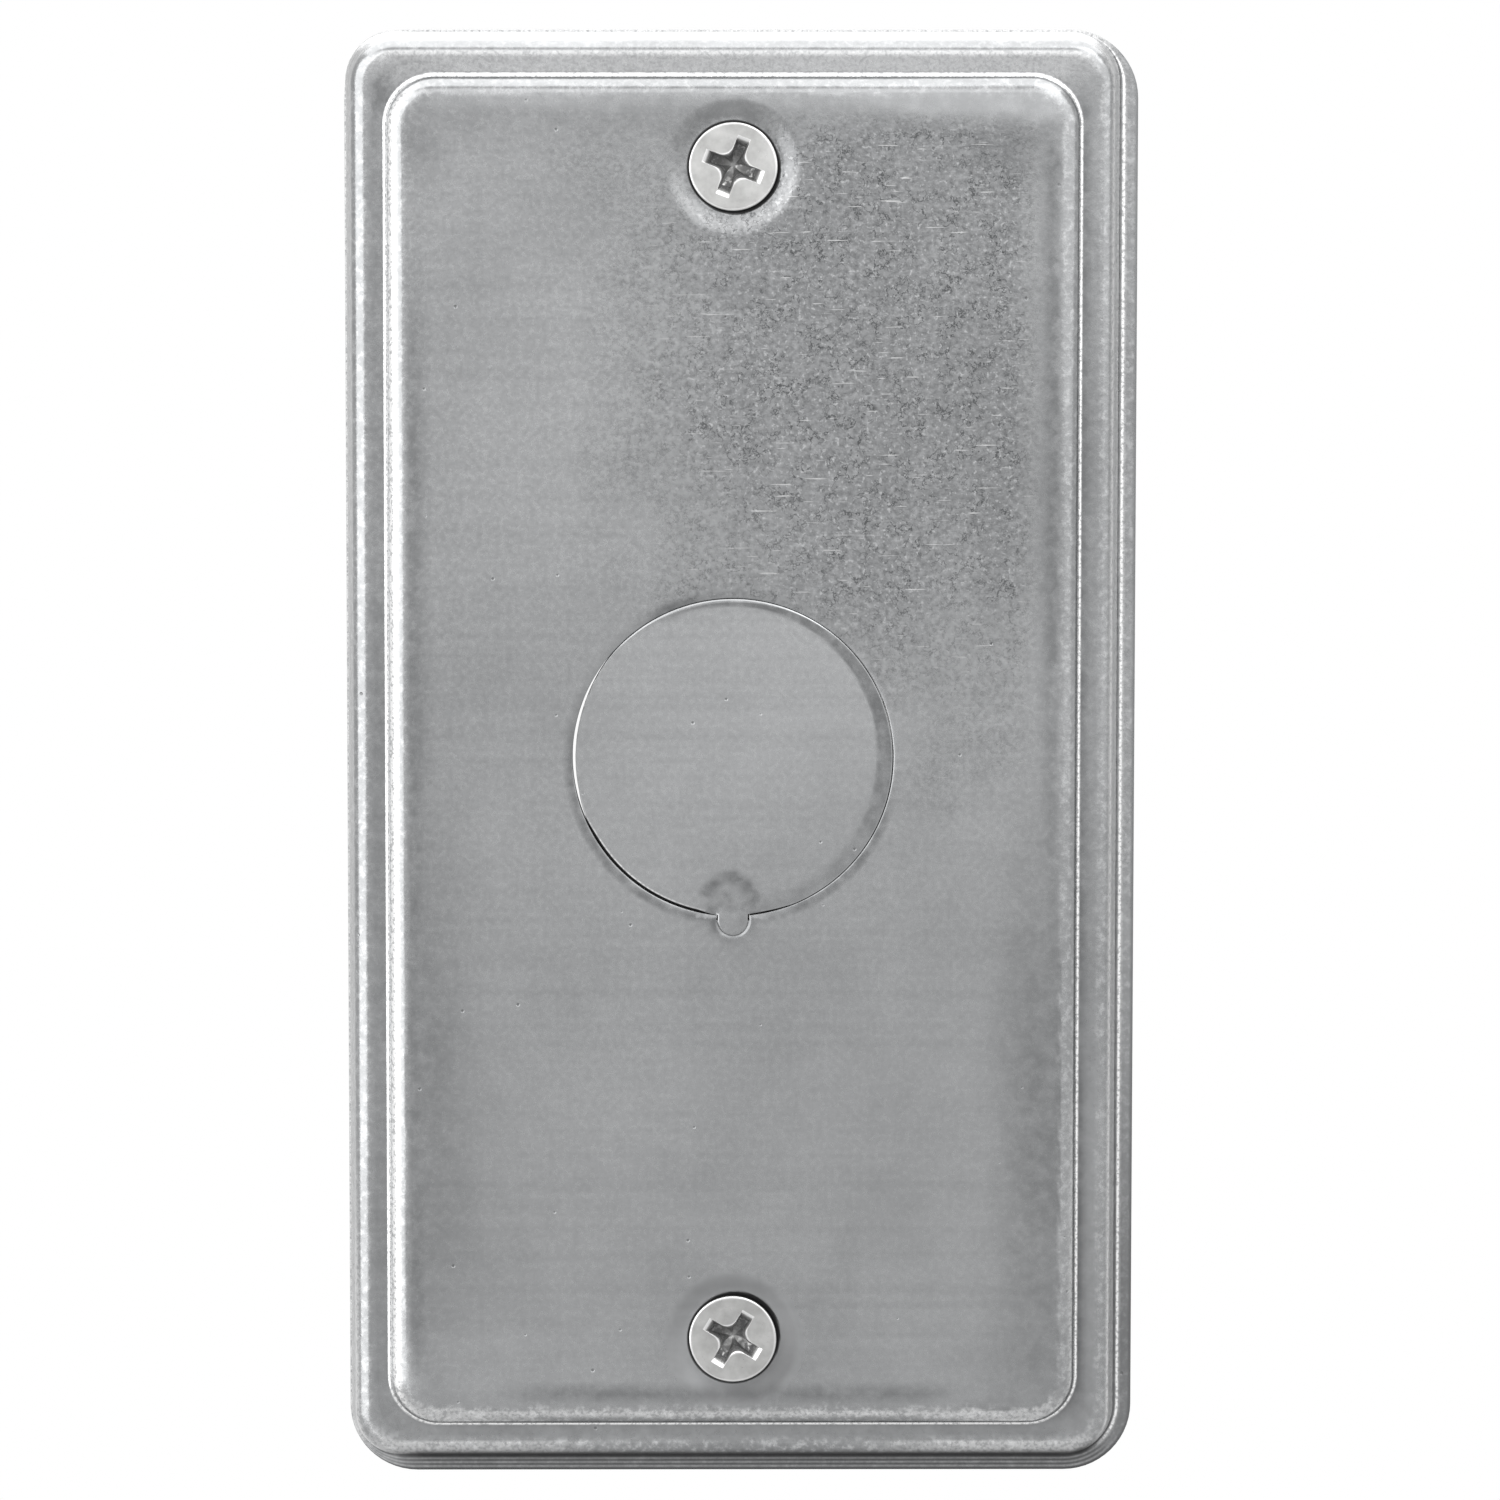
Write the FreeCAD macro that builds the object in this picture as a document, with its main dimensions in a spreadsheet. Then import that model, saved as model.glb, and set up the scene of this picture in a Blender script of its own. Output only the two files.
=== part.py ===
"""Raised steel cover for a small utility box, with its two flat-head screws.

The cover is one pressing: a trimmed lip, straight walls, a rounded bend, a narrow ledge and a raised
panel. A knockout in the middle hangs on its tab, and each screw sits in a countersunk dimple.

X points right and Z up, as the fixed cover is seen. Its face looks towards -Y, and the rim that
meets the box lies in the plane Y = 0, so the height of a point over the rim is -Y.
"""
import FreeCAD, Part
import math
import os
import Sketcher

SIZES = (
    ("cover_width", 54.5, "from side wall to side wall, outside"),
    ("cover_height", 101.7, "from end wall to end wall, outside"),
    ("cover_depth", 6.35, "from the rim to the face of the panel"),
    ("sheet", 1.2, "thickness of the steel"),
    ("bend_inside", 0.2, "inside radius of each bend"),
    ("wall_corner", 3.5, "corner radius of the walls, outside"),
    ("step_inset", 2.8, "from the wall to the foot of the step"),
    ("step_rise", 1.6, "from the ledge up to the panel"),
    ("step_corner", 3.4, "corner radius of the step"),
    ("foot", 0.15, "radius in the corner at the foot of the step"),
    ("lip", 0.7, "mean width of the lip outside the walls"),
    ("lip_right", 0.6, "how far the trimmed lip stands off centre, to the right"),
    ("lip_down", 0.6, "how far the trimmed lip stands off centre, downwards"),
    ("lip_corner", 4.3, "corner radius of the lip"),
    ("screw_inset", 9.18, "from each end wall to the middle of its screw"),
    ("dimple", 9.4, "diameter of each screw's dimple at the face"),
    ("dimple_depth", 0.35, "depth of the dimple round the screw's head"),
    ("seat_margin", 0.15, "room beside the head in its dimple"),
    ("seat_land", 0.2, "straight stretch of the hole below the cone"),
    ("seat_gap", 0.03, "height of the head over its cone, for a free fit"),
    ("hole_room", 0.15, "room beside the thread in its hole"),
    ("knockout", 22.6, "diameter of the knockout"),
    ("slit", 0.12, "width of the cut round the knockout"),
    ("set_back", 0.12, "how far the knockout lies behind the face"),
    ("tab_width", 2.1, "width of the tab that holds the knockout"),
    ("tab_length", 1.35, "how far the tab reaches past the circle"),
    ("tab_groove", 0.15, "depth of the mark round the tab's end"),
    ("head", 6.25, "diameter of a screw's head"),
    ("head_angle", 82.0, "cone angle under the head, in degrees"),
    ("head_edge", 0.35, "height of the head's straight edge"),
    ("thread", 3.5, "outside diameter of the thread"),
    ("screw_length", 12.7, "length of a screw over all"),
    ("point_chamfer", 0.5, "chamfer on the screw's end"),
    ("cross_span", 3.85, "width over the arms of the cross recess, at the top"),
    ("cross_tip", 1.2, "width over the arms of the cross recess, at its floor"),
    ("cross_depth", 1.75, "depth of the cross recess"),
    ("cross_arm", 0.72, "width of an arm of the cross recess"),
    ("cross_core", 2.0, "diameter of the cone in the middle of the recess, at the top"),
    ("cross_core_tip", 0.8, "diameter of that cone at the floor of the recess"),
    ("upper_twist", 21.0, "how far the upper screw's cross is turned clockwise, in degrees"),
    ("lower_twist", 31.0, "how far the lower screw's cross is turned clockwise, in degrees"),
)

# Plane of the rim, seen from the front: sketch X is X, sketch Y is Z, and it faces the viewer.
FRONT = "XZ_Plane"
# Plane across the cover, used at a screw's height: sketch X is X, sketch Y is Y.
ACROSS = "XY_Plane"

# Points that a sketch can always name: its own origin and the ends of a line or arc.
ORIGIN = (-1, 1)
START = 1
END = 2
CENTRE = 3

# How far an outline found by its extent may differ from the one asked for.
MATCH = 0.02

# The outlines that several features share, worked out from the sizes.
HEIGHT_OF_LEDGE = "Sizes.cover_depth - Sizes.step_rise"
OUTER_BEND = "Sizes.bend_inside + Sizes.sheet"
SEAT_HEIGHT = "Sizes.cover_depth - Sizes.dimple_depth"
SEAT_RADIUS = "(Sizes.head / 2 + Sizes.seat_margin)"
HOLE_RADIUS = "(Sizes.thread / 2 + Sizes.hole_room)"
SLOPE = "tan(Sizes.head_angle / 2 * 1 deg)"
CONE_END = f"({SEAT_HEIGHT} - ({SEAT_RADIUS} - {HOLE_RADIUS}) / {SLOPE})"
SCREW_OFFSET = "(Sizes.cover_height / 2 - Sizes.screw_inset)"


def make_sizes(doc):
    """Write the driving sizes into a spreadsheet, one row each."""
    sheet = doc.addObject("Spreadsheet::Sheet", "Sizes")
    for row, (alias, value, meaning) in enumerate(SIZES, start=1):
        sheet.set(f"A{row}", meaning)
        sheet.set(f"B{row}", str(value))
        sheet.setAlias(f"B{row}", alias)
    doc.recompute()
    return sheet


def value_of(sketch, expression):
    """The value that an expression has now, as a plain number."""
    result = sketch.evalExpression(expression)
    return float(getattr(result, "Value", result))


def new_sketch(body, name, plane, offset=None):
    """A sketch on one of the body's own planes, moved along the plane's normal by an expression."""
    sketch = body.newObject("Sketcher::SketchObject", name)
    support = [item for item in body.Origin.OriginFeatures if item.Role == plane][0]
    sketch.AttachmentSupport = [(support, "")]
    sketch.MapMode = "FlatFace"
    if offset:
        sketch.setExpression("AttachmentOffset.Base.z", offset)
    return sketch


def bind(sketch, kind, where, expression):
    """Add a constraint whose value follows an expression of the sizes."""
    value = value_of(sketch, expression)
    index = sketch.addConstraint(Sketcher.Constraint(kind, *where, value))
    sketch.setExpression(f"Constraints[{index}]", expression)


def place(sketch, point, across=None, along=None):
    """Tie a point's distances from the sketch's origin to expressions."""
    if across is not None:
        bind(sketch, "DistanceX", (*ORIGIN, *point), across)
    if along is not None:
        bind(sketch, "DistanceY", (*ORIGIN, *point), along)


def polygon(sketch, corners):
    """A closed outline of straight lines through corners, each a pair of expressions."""
    points = [FreeCAD.Vector(value_of(sketch, x), value_of(sketch, y), 0) for x, y in corners]
    count = len(points)
    for index in range(count):
        sketch.addGeometry(Part.LineSegment(points[index], points[(index + 1) % count]), False)
    for index, (across, along) in enumerate(corners):
        following = (index + 1) % count
        sketch.addConstraint(Sketcher.Constraint("Coincident", index, END, following, START))
        place(sketch, (index, START), across, along)


def circle(sketch, radius):
    """A circle about the sketch's origin."""
    start = Part.Circle(FreeCAD.Vector(0, 0, 0), FreeCAD.Vector(0, 0, 1), value_of(sketch, radius))
    index = sketch.addGeometry(start, False)
    sketch.addConstraint(Sketcher.Constraint("Coincident", index, CENTRE, *ORIGIN))
    bind(sketch, "Radius", (index,), radius)


def arc(sketch, middle, radius, first, last):
    """Add an arc that runs anticlockwise from one angle to another, in radians."""
    whole = Part.Circle(middle, FreeCAD.Vector(0, 0, 1), radius)
    return sketch.addGeometry(Part.ArcOfCircle(whole, first, last), False)


def rounded_rectangle(sketch, left, right, bottom, top, corner):
    """A rectangle with four equal round corners, its sides placed by expressions."""
    x0, x1, y0, y1, r = (value_of(sketch, item) for item in (left, right, bottom, top, corner))
    sides = (
        ((x0 + r, y0), (x1 - r, y0)),
        ((x1, y0 + r), (x1, y1 - r)),
        ((x1 - r, y1), (x0 + r, y1)),
        ((x0, y1 - r), (x0, y0 + r)),
    )
    lines = [
        sketch.addGeometry(Part.LineSegment(FreeCAD.Vector(*a, 0), FreeCAD.Vector(*b, 0)), False)
        for a, b in sides
    ]
    middles = ((x1 - r, y0 + r), (x1 - r, y1 - r), (x0 + r, y1 - r), (x0 + r, y0 + r))
    quarter = math.pi / 2
    arcs = [
        arc(sketch, FreeCAD.Vector(*middle, 0), r, (turn - 1) * quarter, turn * quarter)
        for turn, middle in enumerate(middles)
    ]
    for turn in range(4):
        sketch.addConstraint(Sketcher.Constraint("Tangent", lines[turn], END, arcs[turn], START))
        following = lines[(turn + 1) % 4]
        sketch.addConstraint(Sketcher.Constraint("Tangent", arcs[turn], END, following, START))
    for line in lines[0::2]:
        sketch.addConstraint(Sketcher.Constraint("Horizontal", line))
    for line in lines[1::2]:
        sketch.addConstraint(Sketcher.Constraint("Vertical", line))
    for other in arcs[1:]:
        sketch.addConstraint(Sketcher.Constraint("Equal", arcs[0], other))
    bind(sketch, "Radius", (arcs[0],), corner)
    place(sketch, (lines[0], START), along=bottom)
    place(sketch, (lines[1], START), across=right)
    place(sketch, (lines[2], START), along=top)
    place(sketch, (lines[3], START), across=left)


def centred_rectangle(sketch, inset, corner):
    """The outline of the walls, drawn in by an inset on every side."""
    half_width = f"(Sizes.cover_width / 2 - ({inset}))"
    half_height = f"(Sizes.cover_height / 2 - ({inset}))"
    rounded_rectangle(sketch, f"-{half_width}", half_width, f"-{half_height}", half_height, corner)


def grow(body, name, sketch, length, backwards=False):
    """Raise a sketch into a pad, towards the viewer unless it goes backwards."""
    pad = body.newObject("PartDesign::Pad", name)
    pad.Profile = sketch
    pad.Reversed = backwards
    pad.setExpression("Length", length)
    body.Document.recompute()
    return pad


def checked_cut(feature, before):
    """Stop if a cutting feature took nothing away."""
    feature.Document.recompute()
    if feature.Shape.isNull() or feature.Shape.Volume >= before:
        raise RuntimeError(f"{feature.Name} cut nothing")
    return feature


def cut(body, name, sketch, length=None, forwards=False, both_sides=False):
    """Cut a sketch into the body, away from the viewer unless it goes forwards, or right through."""
    before = body.Shape.Volume
    pocket = body.newObject("PartDesign::Pocket", name)
    pocket.Profile = sketch
    pocket.Reversed = forwards
    if both_sides:
        pocket.SideType = "Symmetric"
    if length is None:
        pocket.Type = "ThroughAll"
    else:
        pocket.setExpression("Length", length)
    return checked_cut(pocket, before)


def turn_about(body, kind, name, sketch):
    """Turn a sketch right round its own vertical axis, as a Revolution or a Groove."""
    before = body.Shape.Volume if kind == "Groove" else 0
    turned = body.newObject(f"PartDesign::{kind}", name)
    turned.Profile = sketch
    turned.ReferenceAxis = (sketch, ["V_Axis"])
    turned.Angle = 360
    if kind == "Groove":
        return checked_cut(turned, before)
    body.Document.recompute()
    return turned


def outline_edges(shape, height, width, length):
    """Names of the edges round a flat outline, found by its height over the rim and its extent."""
    for wire in shape.Wires:
        box = wire.BoundBox
        flat = abs(box.YMin + height) < MATCH and abs(box.YMax + height) < MATCH
        if flat and abs(box.XLength - width) < MATCH and abs(box.ZLength - length) < MATCH:
            return [
                f"Edge{number}"
                for number, edge in enumerate(shape.Edges, start=1)
                if any(edge.isSame(side) for side in wire.Edges)
            ]
    raise RuntimeError(f"no outline {width:.2f} by {length:.2f} at height {height:.2f}")


def round_outline(body, name, base, height, inset, radius):
    """Round the edge of a tier, found by its height and its inset from the walls."""
    level = value_of(base, height)
    drawn_in = 2 * value_of(base, inset)
    width = value_of(base, "Sizes.cover_width") - drawn_in
    length = value_of(base, "Sizes.cover_height") - drawn_in
    fillet = body.newObject("PartDesign::Fillet", name)
    fillet.Base = (base, outline_edges(base.Shape, level, width, length))
    fillet.setExpression("Radius", radius)
    body.Document.recompute()
    return fillet


def add_outer_form(body):
    """Lip, walls and raised panel as one solid block, with the outside bends."""
    walls = new_sketch(body, "WallOutline", FRONT)
    centred_rectangle(walls, "0", "Sizes.wall_corner")
    grow(body, "Walls", walls, HEIGHT_OF_LEDGE)
    panel = new_sketch(body, "StepOutline", FRONT)
    centred_rectangle(panel, "Sizes.step_inset", "Sizes.step_corner")
    block = grow(body, "Panel", panel, "Sizes.cover_depth")

    shoulder = f"min({OUTER_BEND}; 0.98 * (Sizes.step_rise - Sizes.foot))"
    block = round_outline(body, "Shoulder", block, "Sizes.cover_depth", "Sizes.step_inset", shoulder)
    block = round_outline(body, "StepFoot", block, HEIGHT_OF_LEDGE, "Sizes.step_inset", "Sizes.foot")
    bend = f"min({OUTER_BEND}; 0.98 * (Sizes.step_inset - Sizes.foot))"
    round_outline(body, "WallBend", block, HEIGHT_OF_LEDGE, "0", bend)

    lip = new_sketch(body, "LipOutline", FRONT)
    half_width = "(Sizes.cover_width / 2 + Sizes.lip)"
    half_height = "(Sizes.cover_height / 2 + Sizes.lip)"
    rounded_rectangle(
        lip,
        f"Sizes.lip_right - {half_width}",
        f"Sizes.lip_right + {half_width}",
        f"-Sizes.lip_down - {half_height}",
        f"-Sizes.lip_down + {half_height}",
        "Sizes.lip_corner",
    )
    grow(body, "Lip", lip, "Sizes.sheet")


def hollow_out(body):
    """Cut the inside from the rim, one sheet behind the outer form, with the inside bends."""
    ceiling = f"{HEIGHT_OF_LEDGE} - Sizes.sheet"
    panel_back = "Sizes.cover_depth - Sizes.sheet"
    inner_step = "Sizes.step_inset + Sizes.sheet"
    lower = new_sketch(body, "LowerHollow", FRONT)
    centred_rectangle(lower, "Sizes.sheet", "max(Sizes.wall_corner - Sizes.sheet; Sizes.bend_inside)")
    cut(body, "UnderLedge", lower, ceiling, forwards=True)
    upper = new_sketch(body, "UpperHollow", FRONT)
    centred_rectangle(upper, inner_step, "max(Sizes.step_corner - Sizes.sheet; Sizes.bend_inside)")
    shell = cut(body, "UnderPanel", upper, panel_back, forwards=True)

    shell = round_outline(body, "InnerWallBend", shell, ceiling, "Sizes.sheet", "Sizes.bend_inside")
    shell = round_outline(body, "InnerShoulder", shell, panel_back, inner_step, "Sizes.bend_inside")
    back_of_foot = "min(Sizes.foot + Sizes.sheet; 0.98 * (Sizes.step_rise - Sizes.bend_inside))"
    round_outline(body, "InnerStepFoot", shell, ceiling, inner_step, back_of_foot)


def add_screw_seats(body):
    """Press a countersunk dimple for each screw, the lower one as the mirror of the upper one."""
    panel_back = "-(Sizes.cover_depth - Sizes.sheet)"
    land_end = f"-({CONE_END} - Sizes.seat_land)"
    bulge = new_sketch(body, "SeatBulge", ACROSS, SCREW_OFFSET)
    polygon(bulge, (
        ("0", f"{panel_back} - Sizes.sheet / 2"),
        ("Sizes.dimple / 2", f"{panel_back} - Sizes.sheet / 2"),
        ("Sizes.dimple / 2", panel_back),
        (f"{HOLE_RADIUS} + Sizes.sheet", land_end),
        ("0", land_end),
    ))
    pressed = turn_about(body, "Revolution", "SeatMetal", bulge)
    opening = new_sketch(body, "SeatOpening", ACROSS, SCREW_OFFSET)
    polygon(opening, (
        ("0", "-Sizes.cover_depth - Sizes.sheet"),
        ("Sizes.dimple / 2", "-Sizes.cover_depth - Sizes.sheet"),
        ("Sizes.dimple / 2", "-Sizes.cover_depth"),
        (SEAT_RADIUS, f"-({SEAT_HEIGHT})"),
        (HOLE_RADIUS, f"-{CONE_END}"),
        (HOLE_RADIUS, f"{land_end} + Sizes.sheet"),
        ("0", f"{land_end} + Sizes.sheet"),
    ))
    opened = turn_about(body, "Groove", "SeatCone", opening)
    mirror = body.newObject("PartDesign::Mirrored", "LowerSeat")
    mirror.Originals = [pressed, opened]
    middle = [item for item in body.Origin.OriginFeatures if item.Role == ACROSS][0]
    mirror.MirrorPlane = (middle, [""])
    body.Tip = mirror
    body.Document.recompute()


def draw_slit(sketch):
    """Draw the cut round the knockout, open at the tab, whose two sides it follows down."""
    ring = "(Sizes.knockout / 2)"
    core = f"({ring} - Sizes.slit)"
    near = "(Sizes.tab_width / 2)"
    far = f"({near} + Sizes.slit)"
    low = f"({ring} + Sizes.tab_length - {near})"
    outer, inner, x_near, x_far, depth = (
        value_of(sketch, item) for item in (ring, core, near, far, low)
    )
    middle = FreeCAD.Vector(0, 0, 0)
    outer_start = math.asin(x_far / outer) - math.pi / 2
    inner_start = math.asin(x_near / inner) - math.pi / 2
    outer_arc = arc(sketch, middle, outer, outer_start, math.pi - outer_start)
    inner_arc = arc(sketch, middle, inner, inner_start, math.pi - inner_start)
    for curve, radius in ((outer_arc, ring), (inner_arc, core)):
        sketch.addConstraint(Sketcher.Constraint("Coincident", curve, CENTRE, *ORIGIN))
        bind(sketch, "Radius", (curve,), radius)
    for side, outer_end, inner_end in ((1, START, START), (-1, END, END)):
        legs = []
        for curve, end, x, radius, reach in (
            (outer_arc, outer_end, x_far, outer, far),
            (inner_arc, inner_end, x_near, inner, near),
        ):
            top = FreeCAD.Vector(side * x, -math.sqrt(radius ** 2 - x ** 2), 0)
            leg = sketch.addGeometry(Part.LineSegment(top, FreeCAD.Vector(side * x, -depth, 0)), False)
            sketch.addConstraint(Sketcher.Constraint("Coincident", leg, START, curve, end))
            place(sketch, (leg, START), across=f"{side} * {reach}")
            place(sketch, (leg, END), f"{side} * {reach}", f"-{low}")
            legs.append(leg)
        ends = [FreeCAD.Vector(side * x, -depth, 0) for x in (x_far, x_near)]
        foot = sketch.addGeometry(Part.LineSegment(*ends), False)
        for leg, end in zip(legs, (START, END)):
            sketch.addConstraint(Sketcher.Constraint("Coincident", leg, END, foot, end))


def draw_tab_end(sketch):
    """Draw the half ring that marks the round end of the tab, below the two sides of the slit."""
    near = "(Sizes.tab_width / 2)"
    far = f"({near} + Sizes.slit)"
    low = f"(Sizes.knockout / 2 + Sizes.tab_length - {near})"
    middle = FreeCAD.Vector(0, -value_of(sketch, low), 0)
    curves = []
    for reach in (near, far):
        curve = arc(sketch, middle, value_of(sketch, reach), math.pi, 2 * math.pi)
        sketch.addConstraint(Sketcher.Constraint("PointOnObject", curve, CENTRE, -2))
        bind(sketch, "Radius", (curve,), reach)
        place(sketch, (curve, CENTRE), along=f"-{low}")
        curves.append(curve)
    for end, side in ((START, -1), (END, 1)):
        points = [middle + FreeCAD.Vector(side * value_of(sketch, item), 0, 0) for item in (near, far)]
        line = sketch.addGeometry(Part.LineSegment(*points), False)
        sketch.addConstraint(Sketcher.Constraint("Coincident", line, START, curves[0], end))
        sketch.addConstraint(Sketcher.Constraint("Coincident", line, END, curves[1], end))
        sketch.addConstraint(Sketcher.Constraint("Horizontal", line))


def add_knockout(body):
    """Set the knockout back, slit it round and mark the end of the tab that holds it."""
    disc_radius = "(Sizes.knockout - Sizes.slit) / 2"
    face = "Sizes.cover_depth"
    disc_face = new_sketch(body, "DiscFace", FRONT, face)
    circle(disc_face, disc_radius)
    cut(body, "DiscSetBack", disc_face, "Sizes.set_back")
    disc_back = new_sketch(body, "DiscBack", FRONT, "Sizes.cover_depth - Sizes.sheet")
    circle(disc_back, disc_radius)
    grow(body, "DiscProud", disc_back, "Sizes.set_back", backwards=True)
    slit = new_sketch(body, "Slit", FRONT, face)
    draw_slit(slit)
    cut(body, "SlitCut", slit)
    tab_end = new_sketch(body, "TabEnd", FRONT, face)
    draw_tab_end(tab_end)
    cut(body, "TabMark", tab_end, "Sizes.tab_groove")


def make_cover(doc):
    """The pressed cover, as one piece of sheet."""
    body = doc.addObject("PartDesign::Body", "Cover")
    body.Label = "cover"
    add_outer_form(body)
    hollow_out(body)
    add_screw_seats(body)
    add_knockout(body)
    return body


def make_screw(doc, label, side, twist):
    """A flat-head screw with a cross recess, seated in its dimple and turned by its twist.

    The screw is drawn upright, with the middle of its head's face at its own origin.
    """
    body = doc.addObject("PartDesign::Body", label.title().replace("_", ""))
    body.Label = label
    head_radius = "Sizes.head / 2"
    thread_radius = "(Sizes.thread / 2)"
    neck = f"-(Sizes.head_edge + ({head_radius} - {thread_radius}) / {SLOPE})"
    outline = new_sketch(body, "ScrewOutline", FRONT)
    polygon(outline, (
        ("0", "0"),
        (head_radius, "0"),
        (head_radius, "-Sizes.head_edge"),
        (thread_radius, neck),
        (thread_radius, "-(Sizes.screw_length - Sizes.point_chamfer)"),
        (f"{thread_radius} - Sizes.point_chamfer", "-Sizes.screw_length"),
        ("0", "-Sizes.screw_length"),
    ))
    turn_about(body, "Revolution", "Turned", outline)

    core = new_sketch(body, "CoreOutline", FRONT)
    polygon(core, (
        ("0", "0"),
        ("Sizes.cross_core / 2", "0"),
        ("Sizes.cross_core_tip / 2", "-Sizes.cross_depth"),
        ("0", "-Sizes.cross_depth - Sizes.cross_core_tip / 2"),
    ))
    turn_about(body, "Groove", "CrossCore", core)
    arm = new_sketch(body, "ArmOutline", FRONT)
    polygon(arm, (
        ("-Sizes.cross_span / 2", "0"),
        ("Sizes.cross_span / 2", "0"),
        ("Sizes.cross_tip / 2", "-Sizes.cross_depth"),
        ("-Sizes.cross_tip / 2", "-Sizes.cross_depth"),
    ))
    blade = cut(body, "CrossArm", arm, "Sizes.cross_arm", both_sides=True)
    cross = body.newObject("PartDesign::PolarPattern", "Cross")
    cross.Originals = [blade]
    axis = [item for item in body.Origin.OriginFeatures if item.Role == "Z_Axis"][0]
    cross.Axis = (axis, [""])
    cross.Angle = 90
    cross.Occurrences = 2
    body.Tip = cross

    facing = FreeCAD.Rotation(FreeCAD.Vector(1, 0, 0), 90)
    turned = FreeCAD.Rotation(FreeCAD.Vector(0, 0, 1), -twist)
    body.Placement = FreeCAD.Placement(FreeCAD.Vector(0, 0, 0), facing * turned)
    rim_height = f"({SEAT_HEIGHT} - Sizes.seat_margin / {SLOPE} + Sizes.seat_gap)"
    body.setExpression("Placement.Base.y", f"-({rim_height} + Sizes.head_edge)")
    body.setExpression("Placement.Base.z", f"{side} * {SCREW_OFFSET}")
    doc.recompute()
    return body


def check_document(doc, pieces):
    """Stop if any object failed, or if a piece isn't one sound solid."""
    failed = [item.Name for item in doc.Objects if {"Invalid", "Error"} & set(item.State)]
    if failed:
        raise RuntimeError(f"these objects failed: {failed}")
    for piece in pieces:
        shape = piece.Shape
        if shape.isNull() or not shape.isValid() or len(shape.Solids) != 1:
            raise RuntimeError(f"{piece.Label} isn't one sound solid")


def main():
    """Build the cover and its screws, check them and write one file for each."""
    doc = FreeCAD.newDocument("UtilityBoxCover")
    sizes = make_sizes(doc)
    pieces = [make_cover(doc)]
    pieces.append(make_screw(doc, "upper_screw", 1, sizes.upper_twist))
    pieces.append(make_screw(doc, "lower_screw", -1, sizes.lower_twist))
    doc.recompute()
    check_document(doc, pieces)
    os.makedirs("parts", exist_ok=True)
    for piece in pieces:
        piece.Shape.exportStep(f"parts/{piece.Label}.step")
        print(f"{piece.Label}: {piece.Shape.Volume:.1f} mm3")


main()
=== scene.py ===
"""Looks of a raised utility-box cover: one pressed galvanised sheet and its two flat-head screws.

X points right and Z up, and the face looks towards -Y. A height is measured from the rim towards
the viewer, so it is -Y. Sizes are in millimetres until a mesh is made.
"""
import logging
import math
from dataclasses import dataclass
from enum import Enum
from typing import Any, Iterable, Sequence

import bmesh
import bpy
import numpy as np
from mathutils import Matrix, Vector, noise
from mathutils.geometry import delaunay_2d_cdt
from mathutils.kdtree import KDTree


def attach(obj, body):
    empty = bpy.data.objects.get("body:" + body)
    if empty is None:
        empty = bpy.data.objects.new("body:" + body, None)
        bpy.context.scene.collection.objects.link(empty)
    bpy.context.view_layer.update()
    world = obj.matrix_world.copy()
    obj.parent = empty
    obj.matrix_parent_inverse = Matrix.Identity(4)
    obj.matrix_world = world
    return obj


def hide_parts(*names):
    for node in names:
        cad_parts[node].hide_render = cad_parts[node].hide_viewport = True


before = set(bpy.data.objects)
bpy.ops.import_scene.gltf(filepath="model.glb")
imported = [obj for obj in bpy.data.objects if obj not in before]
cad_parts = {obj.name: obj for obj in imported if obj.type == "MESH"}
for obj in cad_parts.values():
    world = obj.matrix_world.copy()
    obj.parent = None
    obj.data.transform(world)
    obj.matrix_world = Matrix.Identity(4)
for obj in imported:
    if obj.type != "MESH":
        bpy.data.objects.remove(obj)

MM = 0.001
SCREW_HEIGHT = 41.67
CONE_SLOPE = math.tan(math.radians(41))
THREAD_ROWS = 173
THREAD_POINT = 0.5
LOG = logging.getLogger("cover")


class Slot(Enum):
    """The record's material slots."""

    SHEET = "galvanised_sheet"
    SCREW = "zinc_plated_screw"


class Mark(Enum):
    """Vertex attributes that tell a finish what was done to the metal at a point, and where shade
    and highlights are painted.
    """

    BEND = "bend"
    CUT = "cut"
    RUB = "rub"
    COINED = "coined"
    SHADED = "shaded"


# Shared helpers: colours, nodes and loops ---------------------------------------------------------


def linear(code: str) -> tuple[float, float, float, float]:
    """Turn an sRGB hex colour into linear RGBA.

    Args:
        code: Six hex digits, with or without a leading hash.

    Returns:
        Linear red, green and blue, with alpha 1.
    """
    digits = code.lstrip("#")
    values = [int(digits[i:i + 2], 16) / 255 for i in (0, 2, 4)]
    return (*[v / 12.92 if v <= 0.04045 else ((v + 0.055) / 1.055) ** 2.4 for v in values], 1.0)


def add_node(
    tree: bpy.types.NodeTree,
    kind: str,
    settings: dict[str, Any] | None = None,
    inputs: dict[Any, Any] | None = None,
) -> bpy.types.Node:
    """Add a node with its settings, and give each input a value or a link.

    Args:
        tree: Tree that takes the node.
        kind: Type of the node.
        settings: Properties of the node.
        inputs: For an input's name or number, a value or the socket that feeds it.

    Returns:
        The new node.
    """
    node = tree.nodes.new(kind)
    for name, value in (settings or {}).items():
        setattr(node, name, value)
    for key, value in (inputs or {}).items():
        if isinstance(value, bpy.types.NodeSocket):
            tree.links.new(value, node.inputs[key])
        else:
            node.inputs[key].default_value = value
    return node


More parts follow.
